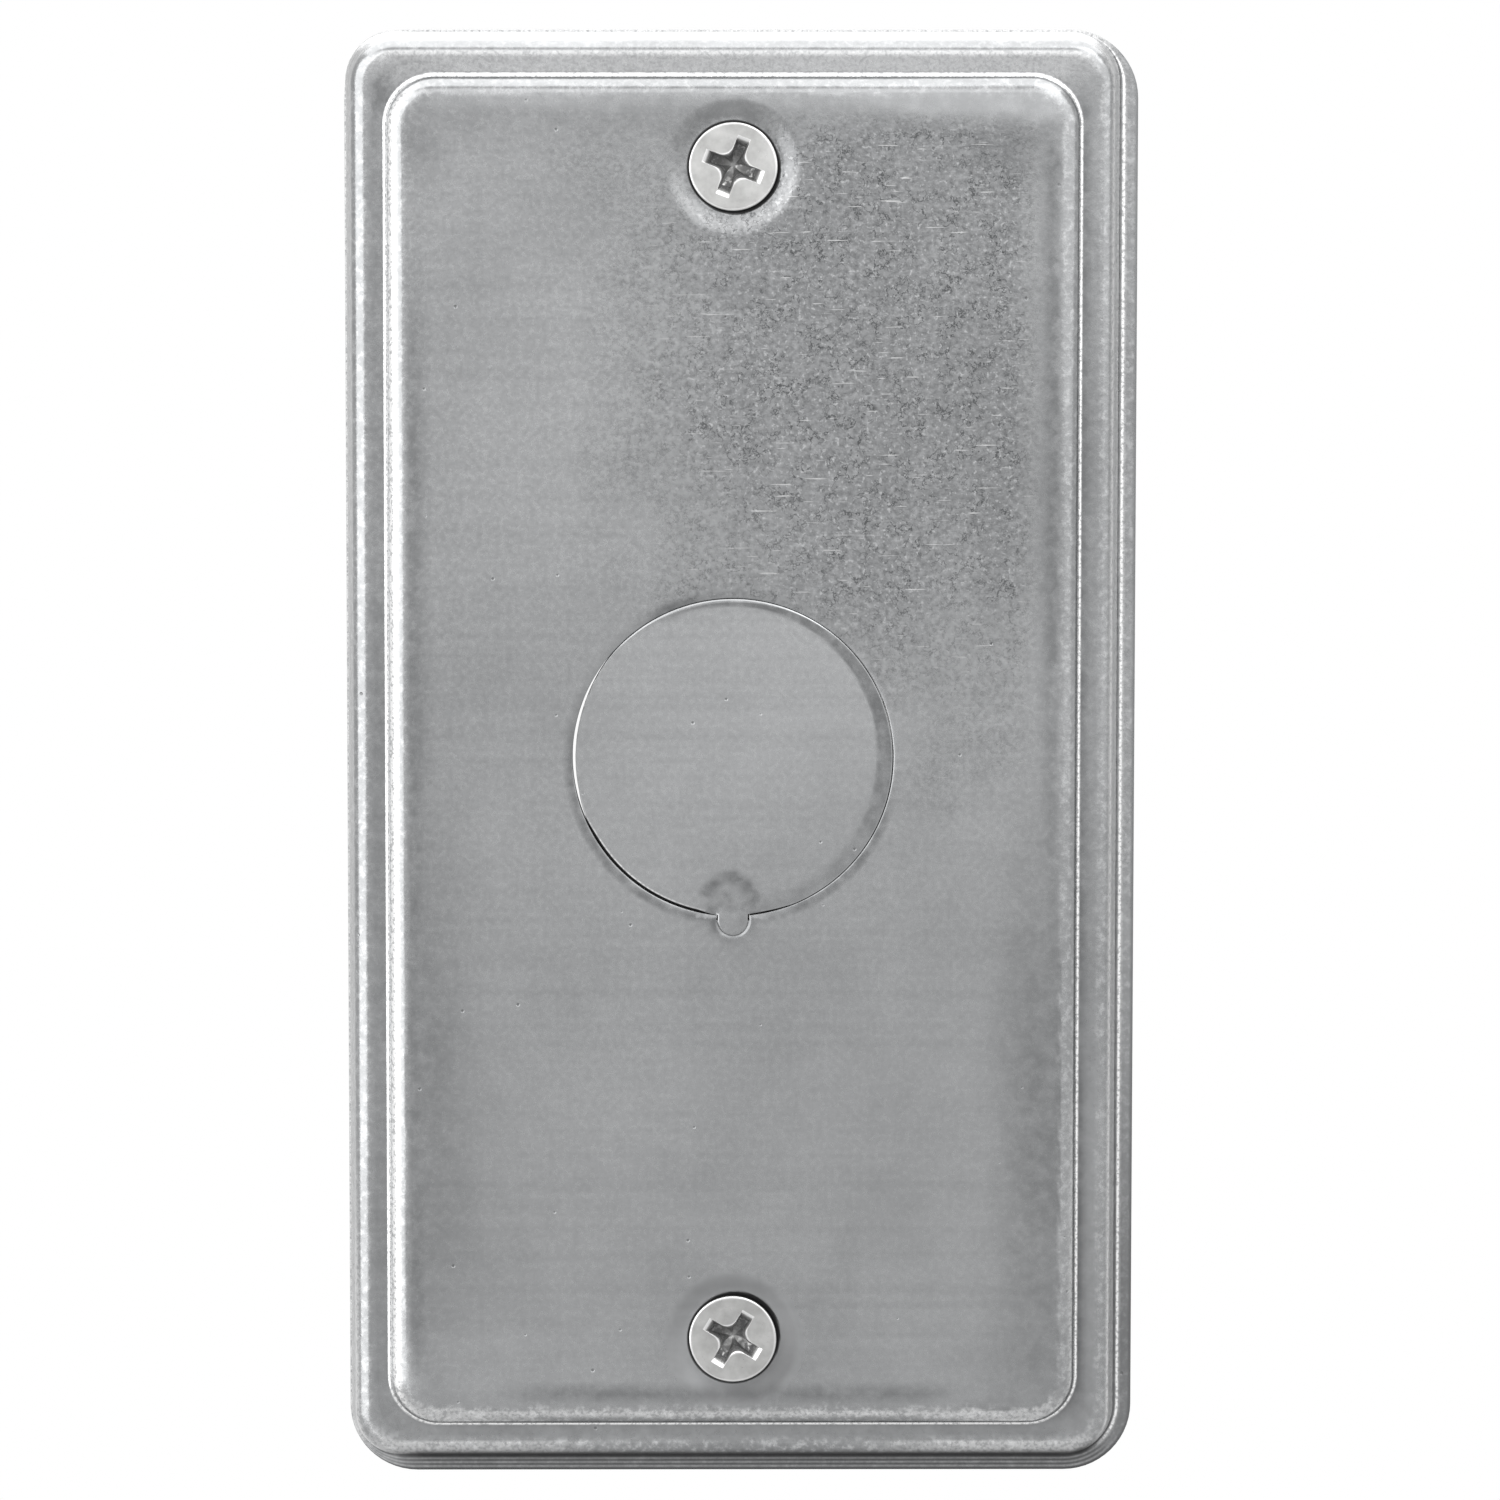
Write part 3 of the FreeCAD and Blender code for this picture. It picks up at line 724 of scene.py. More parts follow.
        outer = on_arc & (np.hypot(*slit.T) > self.knockout.radius - 1e-3)
        inner = on_arc & ~outer
        outward = unit(angles)
        for reach in (0.05, 0.1, 0.18, 0.32, 0.52, 0.78):
            extra.append((slit + outward * reach)[outer])
        for reach in (0.035, 0.075, 0.11, 0.15, 0.22, 0.32, 0.45, 0.6, 0.75, 0.9, 1.05, 1.2, 1.45,
                      1.8):
            extra.append((slit - outward * reach)[inner])
        low = self.knockout.tab_middle
        lower = np.linspace(math.pi, 2 * math.pi, 25)
        for reach in (0.95, 1.0, 1.05, 1.11, 1.17, 1.22, 1.3, 1.45, 1.7):
            extra.append(np.stack([reach * np.cos(lower), low + reach * np.sin(lower)], 1))
        for reach in (1.0, 0.93, 1.23, 1.32, 1.5, 1.8):
            for side in (1, -1):
                heights = np.linspace(-11.55, -11.1 if reach < 1.1 else -11.38, 4)
                extra.append(np.stack([np.full(4, side * reach), heights], 1))
        for radius in (0.35, 0.7, 1.0, 1.25, 1.5, 1.75, 2.0, 2.2, 2.4, 2.7, 3.1):
            number = int(8 + radius * 14)
            around = np.linspace(0, 2 * math.pi, number, endpoint=False)
            extra.append(radius * unit(around) + self.knockout.mark)
        edge_inset = self.back_inset if back else self.panel_inset
        for reach in (0.25, 0.5, 0.8, 1.15, 1.5, 2.1):
            inset = edge_inset + reach
            corner = max(self.step_corner + self.step_inset - inset, 0.25)
            extra.append(self.loop(self.half(inset), corner))
        across = np.arange(-24, 24, self.grid)
        along = np.arange(-48, 48, self.grid)
        grid = np.stack(np.meshgrid(across, along), -1).reshape(-1, 2)
        chosen = self.thin_out(fixed, extra, grid, edge_inset)
        plan = np.concatenate([fixed, chosen])
        made = delaunay_2d_cdt([Vector(p) for p in plan], edges, [], 0, 1e-7)
        plan = np.array([tuple(v) for v in made[0]])
        triangles = np.array([face for face in made[2] if len(face) == 3])
        middle = plan[triangles].mean(1)
        keep = self.edge_distance(middle, edge_inset) > 0
        keep &= self.screw_distance(middle) > self.hole * math.cos(math.pi / ring_steps)
        keep &= ~self.knockout.holds(middle)
        triangles = triangles[keep]
        a, b, c = (plan[triangles[:, i]] for i in range(3))
        area = (b[:, 0] - a[:, 0]) * (c[:, 1] - a[:, 1]) - (b[:, 1] - a[:, 1]) * (c[:, 0] - a[:, 0])
        triangles = np.where((area < 0)[:, None], triangles[:, ::-1], triangles)
        if back:
            first = mesh.add_points(plan, self.back_height(plan))
        else:
            speckled = self.by_side(plan, 0.5, 0.5, 0.3, 1.0)
            bend = speckled * np.clip(1 - self.edge_distance(plan, self.panel_inset) / 0.5, 0, 1)
            around = self.screw_distance(plan)
            # Painted shade in the gaps beside the screws' heads, and a painted highlight on the
            # upper dimple below its head.
            painted_shade = smooth_step((self.seat + self.gap_width(plan) - 0.02 - around) / 0.06)
            upper = np.where(plan[:, 1] > 0, 1, -1) * SCREW_HEIGHT
            falling = smooth_step((upper - plan[:, 1] + 0.8) / 2.5)
            highlight = 0.07 * falling * hill(around, 4.15, 0.75) * (plan[:, 1] > 0)
            # Painted shade on the lower dimple, strongest towards its lower right.
            slant = (plan[:, 0] - plan[:, 1] + upper) / np.maximum(around, 0.1) / math.sqrt(2)
            thick = 0.18 + 0.42 * np.clip(slant, 0, 1)
            dirt = (plan[:, 1] < 0) * smooth_step((5.4 - around) / 1.1) * thick
            painted_shade = np.maximum(painted_shade, dirt)
            # Painted shade inside the blank's rim at the left, and a painted highlight along it at
            # the lower left.
            inside = self.knockout.depth_inside(plan)
            angle = degrees_round(plan)
            rim_shade = 0.6 * (inside > 0) * hill(angle, 168, 40) ** 0.5
            painted_shade = np.maximum(painted_shade, rim_shade * np.clip(1.4 - inside / 0.08, 0, 1))
            rim_highlight = 0.7 * (inside > 0.01) * hill(angle, 228, 36) ** 0.5
            highlight += rim_highlight * np.clip(1.6 - inside / 0.09, 0, 1)
            first = mesh.add_points(plan, self.front_height(plan), bend=bend, rub=self.rub(plan),
                                    shaded=painted_shade, coined=highlight)
        mesh.add_skin(triangles.tolist(), first, back)
        return [*holes, slit]

    def thin_out(
        self, fixed: np.ndarray, extra: list[np.ndarray], grid: np.ndarray, inset: float
    ) -> np.ndarray:
        """Keep the shaping points that lie in the metal, and the grid points that none is near."""
        shaped = np.concatenate(extra)
        inside = self.edge_distance(shaped, inset) > 0.08
        inside &= self.screw_distance(shaped) > self.hole + 0.05
        blank = self.knockout
        metal = (blank.depth_inside(shaped) > 0.02) | (blank.depth_outside(shaped) > 0.02)
        metal |= shaped[:, 1] < blank.tab_middle - 0.01
        shaped = shaped[inside & metal]
        tree = KDTree(len(fixed) + len(shaped))
        for i, point in enumerate(fixed):
            tree.insert((*point, 0), i)
        tree.balance()
        kept: list[np.ndarray] = []
        for point in shaped:
            if tree.find((*point, 0))[2] > 0.025:
                kept.append(point)
        near = KDTree(len(fixed) + len(kept))
        for i, point in enumerate([*fixed, *kept]):
            near.insert((*point, 0), i)
        near.balance()
        for point in grid[self.edge_distance(grid, inset) > 0.5]:
            if near.find((*point, 0))[2] > 0.45:
                kept.append(point)
        unique = {(round(float(x), 3), round(float(z), 3)): (float(x), float(z)) for x, z in kept}
        return np.array(list(unique.values()))

    def by_side(self, plan: np.ndarray, left: Any, right: Any, top: Any, bottom: Any) -> np.ndarray:
        """A weight for each side of the cover, blended round the corners."""
        x, z = plan[:, 0] / self.width, plan[:, 1] / self.width
        end = (self.height - self.width) / 2 / self.width
        z = np.sign(z) * np.clip(np.abs(z) - end, 0, None)
        upright = smooth_step((np.abs(z) - np.abs(x) + 0.04) / 0.08)
        sides = np.where(x < 0, left, right)
        ends = np.where(z > 0, top, bottom)
        return sides * (1 - upright) + ends * upright

    def stations(self) -> list[Ring]:
        """The loops of the section, from the back of the panel round the rim to its face."""
        top = self.depth - self.sheet
        under = self.depth - self.step_rise - self.sheet
        ledge = self.depth - self.step_rise
        small = self.inside_bend
        inner_step = self.step_inset + self.sheet
        made = [Ring(self.inset_loop(self.back_inset), top)]

        def add_ring(plan: np.ndarray, height: Any, **marks: Any) -> None:
            """Add a loop; a mark may be one value, or one each for left, right, top and bottom."""
            values = {name: self.by_side(plan, *value) if isinstance(value, tuple) else value
                      for name, value in marks.items()}
            made.append(Ring(plan, height, **values))

        def add_arc(shares: Iterable[float], inset: Any, height: Any, **marks: Any) -> None:
            """Add a loop for each share of a quarter turn."""
            for share in shares:
                angle = share * math.pi / 2
                add_ring(self.inset_loop(inset(angle)), height(angle), **marks)

        # The back: shoulder, riser, ledge and wall.
        add_arc((0.25, 0.5, 0.75, 1), lambda a: inner_step + small * (1 - math.sin(a)),
                lambda a: top - small * (1 - math.cos(a)))
        add_arc(np.linspace(0, 1, 8)[1:],
                lambda a: inner_step - (self.sheet + self.foot) * (1 - math.cos(a)),
                lambda a: under + (top - small - under) * (1 - math.sin(a)))
        made += [Ring(self.inset_loop(inset), under) for inset in (2.4, 2.0, self.sheet + small)]
        add_arc((0.33, 0.67, 1), lambda a: self.sheet + small * (1 - math.sin(a)),
                lambda a: under - small * (1 - math.cos(a)))
        made += [Ring(self.inset_loop(self.sheet), height) for height in (2.4, 1.4, 0.08)]
        # The rim and the trimmed lip.
        made.append(Ring(self.inset_loop(self.sheet - 0.08), 0.0, cut=1))
        wall = self.inset_loop(0)
        lip = self.lip_loop(wall)
        for share, height in ((0.6, 0.0), (0.93, 0.0), (1.0, 0.09), (1.0, 0.6), (1.0, 1.08),
                              (0.965, 1.165), (0.88, 1.2)):
            made.append(Ring(wall + (lip - wall) * share, height, cut=1 if height < 1.19 else 0.4,
                             rub=0.5))
        # Fine lines run along the lip: share of its width, painted shade at the right and below,
        # and painted highlight at the right and below.
        for share, right, below, shine_right, shine_below in (
            (0.85, 0.5, 0.2, 0, 0), (0.78, 0, 0, 0, 0.12), (0.67, 0, 0.6, 0, 0),
            (0.56, 0, 0, 0, 0.12), (0.45, 0, 0.6, 0, 0), (0.34, 0, 0.1, 0.2, 0.12),
            (0.27, 0, 0.6, 0.9, 0), (0.2, 0, 1, 0.9, 0), (0.12, 0.8, 1, 0, 0), (0.04, 1, 1, 0, 0),
        ):
            add_ring(wall + (lip - wall) * share, 1.2 if share > 0.1 else 1.27, bend=0.5,
                     rub=(0, right, 0, below), coined=(0.5, shine_right, 0.5, shine_below))
        # The wall leans in a little, with a painted highlight at the right, and bends over on to
        # the ledge.
        low, high = 1.42, ledge - self.bend
        for height in np.linspace(low, high, 5)[:-1]:
            inset = self.wall_lean * ((height - low) / (high - low)) ** 1.4
            add_ring(self.inset_loop(inset), height, bend=(0.7, 0.5, 0.3, 0.9),
                     coined=(0, 0.25, 0, 0))
        # Painted highlights run along the bend at the lower left, the right, the top's inner edge
        # and the bottom away from the middle.
        for share in np.linspace(0.1, 1, 14):
            worn = float(smooth_step(np.array(0.55 - share) / 0.25))
            low = smooth_step((-wall[:, 1] - 25) / 15)
            far = smooth_step((np.abs(wall[:, 0]) - 7) / 10)
            add_arc((share,), lambda a: self.wall_lean + self.bend * (1 - math.cos(a)),
                    lambda a: ledge - self.bend * (1 - math.sin(a)), bend=(0.6, 0.5, 0.25, 1),
                    coined=(0.4 * low * worn, 0.42 * worn, 0.2 if share > 0.85 else 0, 0.32 * far))
        foot = self.step_inset - self.foot
        # Painted shade darkens the ledge, most near the step's foot at the right and top; a patch
        # at the upper left is darker too, and a faint painted highlight runs along the top.
        for inset, stain, crease in ((1.62, 0.25, 0.25), (2.0, 0.5, 0.4), (foot - 0.4, 0.5, 0.7),
                                     (foot - 0.16, 0.5, 0.95), (foot - 0.03, 0.6, 1.0)):
            plan = self.inset_loop(inset)
            rub = self.by_side(plan, stain, crease, 0.9 if inset > foot - 0.1 else 0.05, stain)
            rub += (0.5 * smooth_step((-plan[:, 0] - 18) / 4) * smooth_step((plan[:, 1] - 44) / 3)
                    * (inset > 1.9))
            add_ring(plan, ledge, bend=(0.2, 0.2, 0.1, 0.6) if inset < 1.9 else 0,
                     rub=np.clip(rub, 0, 1),
                     coined=(0, 0, 0.1, 0))
        # The foot of the step, with a painted highlight along it, and its shoulder, with painted
        # highlights at the left, right and bottom and painted shade in the bottom's middle.
        for share, shine in ((0.12, 0.5), (0.3, 1), (0.5, 1), (0.75, 1), (1, 0.5)):
            add_arc((share,), lambda a: foot + self.foot * math.sin(a),
                    lambda a: ledge + self.foot * (1 - math.cos(a)),
                    coined=(0.6, shine, shine, 1.0 if share > 0.2 else 0.5))
        outer, inner = self.inset_loop(self.step_inset), self.inset_loop(self.panel_inset)
        turn, slope, width = self.shoulder_end(inner)
        rise = self.depth - slope * width / 2 - self.riser_top
        for share in np.linspace(1, 0, 15):
            angle = turn + (math.pi / 2 - turn) * share
            along = (1 - np.sin(angle)) / (1 - np.sin(turn))
            height = self.riser_top + rise * np.cos(angle) / np.cos(turn)
            middle = smooth_step((22 - np.abs(inner[:, 0])) / 12) * self.by_side(inner, 0, 0, 0, 1)
            worn = float(hill(np.array(share), 0.58, 0.3))
            highlight = 0.3 * (self.by_side(inner, 0, 0, 0, 1) - middle)
            highlight += 0.35 * middle * float(hill(np.array(share), 0.15, 0.25))
            lower = smooth_step((-inner[:, 1] - 5) / 35)
            right = self.by_side(inner, 0, 1, 0, 0)
            highlight += 0.3 * right * lower * float(hill(np.array(share), 0.62, 0.35))
            left = 0.95 * float(smooth_step(np.array(share - 0.1) / 0.4))
            highlight += self.by_side(inner, left, 0, 0, 0)
            add_ring(outer + (inner - outer) * along[:, None], height, bend=(0.5, 0.5, 0.3, 1),
                     rub=worn * middle, coined=highlight)
        return made

    def painted_rim_shade(self, ring: Ring) -> np.ndarray:
        """Painted shade on the lower wall and lip, on the right of the lip and wall, and on the
        ledge at the lower right and bottom, by point of a ring.
        """
        ledge = self.depth - self.step_rise
        height = float(np.mean(ring.height))
        if height < 0.05 or height > ledge:
            return np.zeros(len(ring.plan))
        x, z = ring.plan.T
        below = self.by_side(ring.plan, 0, 0, 0, 1) * smooth_step((x + 26) / 4)
        beside = self.by_side(ring.plan, 0, 1, 0, 0)
        low = smooth_step((-z - 5) / 35)
        if height < 1.3:
            return (below * (0.44 + 0.46 * np.asarray(ring.rub)) + beside * (0.06 + 0.4 * low)) * (
                1 - 0.9 * np.asarray(ring.coined))
        if abs(height - ledge) < 0.01:
            from_foot = -self.edge_distance(ring.plan, self.step_inset)
            sides = self.by_side(ring.plan, 0, 1, 0, 0.4)
            return sides * low * (0.2 + 0.25 * smooth_step((0.8 - from_foot) / 0.5))
        return (below + 0.1 * beside) * float(smooth_step(np.array((ledge + 0.1 - height) / 0.7)))

    def lip_loop(self, wall: np.ndarray) -> np.ndarray:
        """The trimmed lip, kept just outside the walls where its own outline would cut them."""
        lip = self.loop(self.lip_half, self.lip_corner, self.lip_shift)
        corner = self.wall_corner
        over = np.abs(lip) - (self.half(0) - corner)
        outside = np.hypot(*np.maximum(over, 0).T) + np.minimum(np.max(over, 1), 0) - corner
        ahead = np.roll(wall, -1, 0) - np.roll(wall, 1, 0)
        normal = np.stack([ahead[:, 1], -ahead[:, 0]], 1) / np.linalg.norm(ahead, axis=1)[:, None]
        push = np.clip(0.03 - outside, 0, None)
        return lip + normal * push[:, None]

    def build(self, finish: bpy.types.Material) -> bpy.types.Object:
        """Make the cover's closed mesh and dress it."""
        mesh = SheetMesh()
        loops = self.stations()
        number = len(loops[0].plan)
        starts = [
            mesh.add_points(ring.plan, ring.height, bend=ring.bend, cut=ring.cut,
                            coined=ring.coined, rub=ring.rub, shaded=self.painted_rim_shade(ring))
            for ring in loops
        ]
        mesh.add_bands(starts, number)
        outlines = self.skin(mesh, loops[-1].plan, back=False)
        self.skin(mesh, loops[0].plan, back=True)
        for outline in outlines:
            low = mesh.add_points(outline, self.back_height(outline))
            # Painted shade darkens the walls of the slit and the screw holes, deep down and, below
            # the middle, up to the face.
            of_slit = np.abs(outline[:, 1]) <= 30
            deeper = mesh.add_points(outline, self.back_height(outline) + 0.04, cut=1,
                                     shaded=of_slit)
            top = self.front_height(outline)
            upper = outline[:, 1] > 4
            mid = mesh.add_points(outline, top - np.where(upper, 0.1, 0.02),
                                  cut=1 - upper, shaded=1 - upper)
            high = mesh.add_points(outline, top, cut=1 - upper, shaded=0)
            waist = mesh.add_points(self.knockout.pinch(outline), top - 0.45, cut=1, shaded=1)
            mesh.add_bands((low, deeper, waist, mid, high), len(outline))
        piece = mesh.build("pressed_cover", crease=32)
        piece.data.materials.append(finish)
        return piece


# The screws ---------------------------------------------------------------------------------------


@dataclass(frozen=True)
class FlatHeadScrew:
    """A flat-head machine screw, its cross recess turned clockwise by its twist."""

    name: str
    side: int
    twist: float
    head: float = 3.125
    head_edge: float = 0.35
    face: float = 6.207
    crown: float = 0.13
    thread: float = 1.75
    core: float = 1.42
    tilt: float = 1.5
    tilt_bearing: float = 128.0
    pitch: float = 0.794
    length: float = 12.7

    def recess_levels(self) -> tuple[tuple[float, float, float, float], ...]:
        """Depth, reach of an arm, half width of an arm and root radius, from the face down."""
        return (
            (0.0, 2.16, 0.48, 0.76), (0.03, 2.1, 0.455, 0.77), (0.08, 2.03, 0.425, 0.76),
            (0.16, 1.9, 0.395, 0.74), (0.4, 1.74, 0.375, 0.64), (0.85, 1.52, 0.35, 0.48),
            (1.1, 1.1, 0.32, 0.36), (1.4, 0.8, 0.29, 0.2), (1.6, 0.5, 0.22, 0.1),
            (1.7, 0.25, 0.12, 0.06),
        )

    def cross(self, arm: float, half: float, root: float) -> np.ndarray:
        """Outline of the cross, anticlockwise from the front."""
        side = np.linspace(arm, half + root, 4)[1:]
        turn = np.radians(np.linspace(270, 225, 6)[1:])
        middle = half + root
        octant = [(arm, 0.0), (arm, half / 2), (arm, half)] + [(x, half) for x in side]
        octant += [(middle + root * math.cos(t), middle + root * math.sin(t)) for t in turn]
        quadrant = octant + [(y, x) for x, y in octant[-2:0:-1]]
        points = []
        for turn_count in range(4):
            quarter = turn_count * math.pi / 2
            c, s = round(math.cos(quarter)), round(math.sin(quarter))
            points += [(c * x - s * y, s * x + c * y) for x, y in quadrant]
        return np.array(points)

    def lean(self, plan: np.ndarray, height: float) -> np.ndarray:
        """Rise of each point of a head that is driven in a little askew."""
        bearing = math.radians(self.tilt_bearing - 180)
        across = plan[:, 0] * math.cos(bearing) + plan[:, 1] * math.sin(bearing)
        share = min(max(1 + height / 1.3, 0), 1)
        return across * math.tan(math.radians(self.tilt)) * share

    def build_head(self, mesh: SheetMesh) -> None:
        """Head with its rounded edge, its cone and the cross recess, as one closed shell."""
        turn = -math.radians(self.twist)
        spin = np.array([[math.cos(turn), math.sin(turn)], [-math.sin(turn), math.cos(turn)]])
        place = np.array([0, self.side * SCREW_HEIGHT])
        levels = self.recess_levels()
        top = self.cross(*levels[0][1:])
        angle = np.arctan2(top[:, 1], top[:, 0])
        ring = unit(angle)
        neck = self.head_edge + (self.head - self.thread) / CONE_SLOPE
        edge = self.crown
        loops = [(ring * self.thread, -neck), (ring * self.head, -self.head_edge),
                 (ring * self.head, -self.head_edge + 0.08), (ring * self.head, -edge)]
        for share in (0.3, 0.6, 0.85, 1):
            a = share * math.pi / 2
            loops.append((ring * (self.head - edge * (1 - math.cos(a))), -edge * (1 - math.sin(a))))
        for share in (0.05, 0.35, 0.65, 0.93):
            loops.append((ring * (self.head - edge) * (1 - share) + top * share, 0.0))
        loops += [(self.cross(*level[1:]), -level[0]) for level in levels]
        # Painted shade darkens the recess below its top edges and the pit, and a painted highlight
        # lights those edges and the head's rim.
        starts = [
            mesh.add_points(
                plan @ spin + place, self.face + height + self.lean(plan @ spin, height),
                shaded=(0.2, 0.75, 0.8, 0.7, 0.5, 0.4, 0.4)[number - 15] if number > 14 else 0.0,
                coined=0.75 if 11 < number < 15 else 0.45 if 4 < number < 8 else 0.0)
            for number, (plan, height) in enumerate(loops)
        ]
        number = len(ring)
        mesh.add_bands(starts, number)
        pit = mesh.add_points(place[None, :], self.face - 1.76, shaded=0.4)
        under = mesh.add_points(place[None, :], self.face - neck)
        for i in range(number):
            j = (i + 1) % number
            mesh.faces.append((starts[-1] + i, starts[-1] + j, pit))
            mesh.faces.append((starts[0] + j, starts[0] + i, under))

    def build(self, finish: bpy.types.Material, tree: bpy.types.NodeTree) -> bpy.types.Object:
        """Make the head, add the threaded shank from its node tree, and dress the screw."""
        mesh = SheetMesh()
        self.build_head(mesh)
        piece = mesh.build(self.name, crease=30)
        neck = self.head_edge + (self.head - self.thread) / CONE_SLOPE
        start = neck - 0.1
        rod = make_from_tree(f"{self.name}_rod", tree, {
            "Thread radius": self.thread * MM,
            "Core radius": self.core * MM,
            "Pitch": self.pitch * MM,
            "Length": (self.length - start) * MM,
            "Start": (0, -(self.face - start) * MM, self.side * SCREW_HEIGHT * MM),
            "Finish": finish,
        })
        shape = bmesh.new()
        shape.from_mesh(piece.data)
        shape.from_mesh(rod)
        shape.to_mesh(piece.data)
        shape.free()
        bpy.data.meshes.remove(rod)
        piece.data.materials.clear()
        piece.data.materials.append(finish)
        return piece


def thread_tree() -> bpy.types.NodeTree:
    """A tree that rolls a grid into a rod with a right-hand thread along +Y.

    Returns:
        The tree, with its sizes as named inputs.
    """
    tree = bpy.data.node_groups.new("threaded_rod", "GeometryNodeTree")
    face = tree.interface
    for name in ("Thread radius", "Core radius", "Pitch", "Length"):
        face.new_socket(name, in_out="INPUT", socket_type="NodeSocketFloat")
    face.new_socket("Start", in_out="INPUT", socket_type="NodeSocketVector")
    face.new_socket("Finish", in_out="INPUT", socket_type="NodeSocketMaterial")
    face.new_socket("Geometry", in_out="OUTPUT", socket_type="NodeSocketGeometry")
    rows = THREAD_ROWS
    recipe = Recipe(tree, held=False)
    recipe.add(
        grid=("GRID", 1.0, 1.0, 45, rows + 1),
        place=("APART", ("POSITION",)),
        turn=("ADD", "place.X", 0.5),
        along=("ADD", "place.Y", 0.5),
        # The first and last rows close the ends, so the rest share the rod's length.
        run=("DIVIDE", ("SUBTRACT", "along", 1 / rows), (rows - 2) / rows),
        travel=("MULTIPLY", ("MINIMUM", ("MAXIMUM", "run", 0.0), 1.0), "Length"),
        phase=("FRACT", ("SUBTRACT", ("DIVIDE", "travel", "Pitch"), "turn")),
        ridge=("MULTIPLY_ADD", ("ABSOLUTE", ("MULTIPLY_ADD", "phase", 2.0, -1.0)), 1.35, -0.2),
        reach=("SUBTRACT", "Thread radius", "Core radius"),
        cut=("MULTIPLY_ADD", ("MINIMUM", ("MAXIMUM", "ridge", 0.0), 1.0), "reach", "Core radius"),
        # The point is chamfered at 45 degrees.
        left=("SUBTRACT", "Length", "travel"),
        blunt=("ADD", ("SUBTRACT", "Thread radius", THREAD_POINT * MM), "left"),
        body=("MULTIPLY", ("GREATER_THAN", "along", 0.5 / rows),
              ("LESS_THAN", "along", 1 - 0.5 / rows)),
        radius=("MULTIPLY", ("MINIMUM", "cut", "blunt"), "body"),
        angle=("MULTIPLY", "turn", 2 * math.pi),
        at=("JOIN", ("MULTIPLY", "radius", ("SINE", "angle")), "travel",
            ("MULTIPLY", "radius", ("COSINE", "angle"))),
        rolled=("PUT", "grid", ("VECTORS", {"operation": "ADD"}, "at", "Start")),
        done=("RESULT", ("DRESS", ("REAL", ("WELD", "rolled", 1e-6)), "Finish")),
    )
    return tree


def make_from_tree(name: str, tree: bpy.types.NodeTree, values: dict[str, Any]) -> bpy.types.Mesh:
    """Run a geometry tree on an empty mesh and return the result as a plain mesh.

    Args:
        name: Name of the result.
        tree: The tree to run.
        values: Value of each named input.

    Returns:
        The mesh, with its faces outwards.
    """
    holder = bpy.data.objects.new(name, bpy.data.meshes.new(f"{name}_seed"))
    link(holder)
    modifier = holder.modifiers.new("tree", "NODES")
    modifier.node_group = tree
    for socket in tree.interface.items_tree:
        if socket.in_out == "INPUT" and socket.name in values:
            modifier[socket.identifier] = values[socket.name]
    holder.update_tag()
    graph = bpy.context.evaluated_depsgraph_get()
    mesh = bpy.data.meshes.new_from_object(holder.evaluated_get(graph), depsgraph=graph)
    holder.modifiers.clear()
    seed = holder.data
    bpy.data.objects.remove(holder)
    bpy.data.meshes.remove(seed)
    shape = bmesh.new()
    shape.from_mesh(mesh)
    bmesh.ops.remove_doubles(shape, verts=shape.verts, dist=1e-7)
    bmesh.ops.recalc_face_normals(shape, faces=shape.faces)
    shape.to_mesh(mesh)
    shape.free()
    mesh.shade_smooth()
    mesh.set_sharp_from_angle(angle=math.radians(40))
    return mesh


# Finishes -----------------------------------------------------------------------------------------


